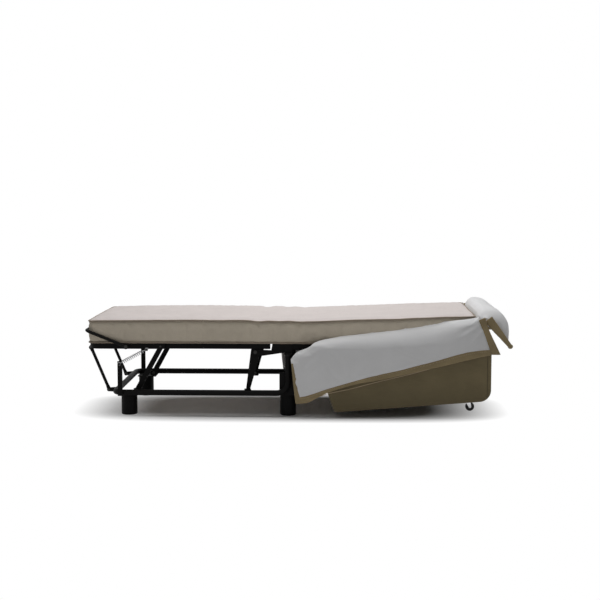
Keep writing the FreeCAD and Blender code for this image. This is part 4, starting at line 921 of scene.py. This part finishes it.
def buildStage():
    floor = Finish("studioFloor", Roughness=0.9, Specular_IOR_Level=0.1)
    floor.set("Base Color", (stageLook["floorWhite"],) * 3)
    rays = floor.node("ShaderNodeLightPath", {}, {}, "Is Camera Ray")
    gloss = floor.node("ShaderNodeLightPath", {}, {}, "Is Glossy Ray")
    sideways = floor.axis("X") * (1 / stageLook["patch"][0]) + stageLook["shift"][0]
    inwards = floor.axis("Y") * (1 / stageLook["patch"][1]) + stageLook["shift"][1]
    far = (sideways * sideways) ** 2 + (inwards * inwards) ** 2
    mask = floor.ramp(far, *stageLook["fade"])
    glow = floor.node("ShaderNodeEmission", {}, {"Color": (1.0, 1.0, 1.0), "Strength": 1.0})
    surface = Flow(floor, floor.shader.outputs[0])
    shown = floor.node("ShaderNodeMixShader", {}, {0: mask * (rays + gloss), 1: surface, 2: glow})
    floor.feed(floor.output.inputs["Surface"], shown)
    shape = bmesh.new()
    bmesh.ops.create_grid(shape, x_segments=8, y_segments=8, size=stageLook["floorSize"])
    bmesh.ops.translate(shape, verts=shape.verts, vec=(0, 0, -stageLook["floorLow"]))
    mesh = bpy.data.meshes.new("studioFloor")
    shape.to_mesh(mesh)
    shape.free()
    plane = bpy.data.objects.new("studioFloor", mesh)
    mesh.materials.append(floor.material)
    bpy.context.collection.objects.link(plane)

    world = bpy.data.worlds.new("studioWorld")
    bpy.context.scene.world = world
    world.use_nodes = True
    tree = world.node_tree
    fill = tree.nodes["Background"]
    fill.inputs["Color"].default_value = (1, 1, 1, 1)
    fill.inputs["Strength"].default_value = stageLook["worldFill"]
    white = tree.nodes.new("ShaderNodeBackground")
    white.inputs["Color"].default_value = (1, 1, 1, 1)
    path = tree.nodes.new("ShaderNodeLightPath")
    either = tree.nodes.new("ShaderNodeMath")
    either.operation = "MAXIMUM"
    third = tree.nodes.new("ShaderNodeMath")
    third.operation = "MAXIMUM"
    join = tree.nodes.new("ShaderNodeMixShader")
    tree.links.new(path.outputs["Is Camera Ray"], either.inputs[0])
    tree.links.new(path.outputs["Is Glossy Ray"], either.inputs[1])
    tree.links.new(either.outputs[0], third.inputs[0])
    tree.links.new(path.outputs["Is Transmission Ray"], third.inputs[1])
    tree.links.new(third.outputs[0], join.inputs[0])
    tree.links.new(fill.outputs[0], join.inputs[1])
    tree.links.new(white.outputs[0], join.inputs[2])
    tree.links.new(join.outputs[0], tree.nodes["World Output"].inputs["Surface"])

    lamp = bpy.data.lights.new("overheadSoftbox", "AREA")
    lamp.shape = "RECTANGLE"
    lamp.size, lamp.size_y = stageLook["lampSize"]
    lamp.energy = stageLook["lamp"]
    holder = bpy.data.objects.new("overheadSoftbox", lamp)
    holder.location = stageLook["lampPlace"]
    bpy.context.collection.objects.link(holder)


buildStage()
bpy.context.scene.view_settings.view_transform = "Standard"
print("stage made")
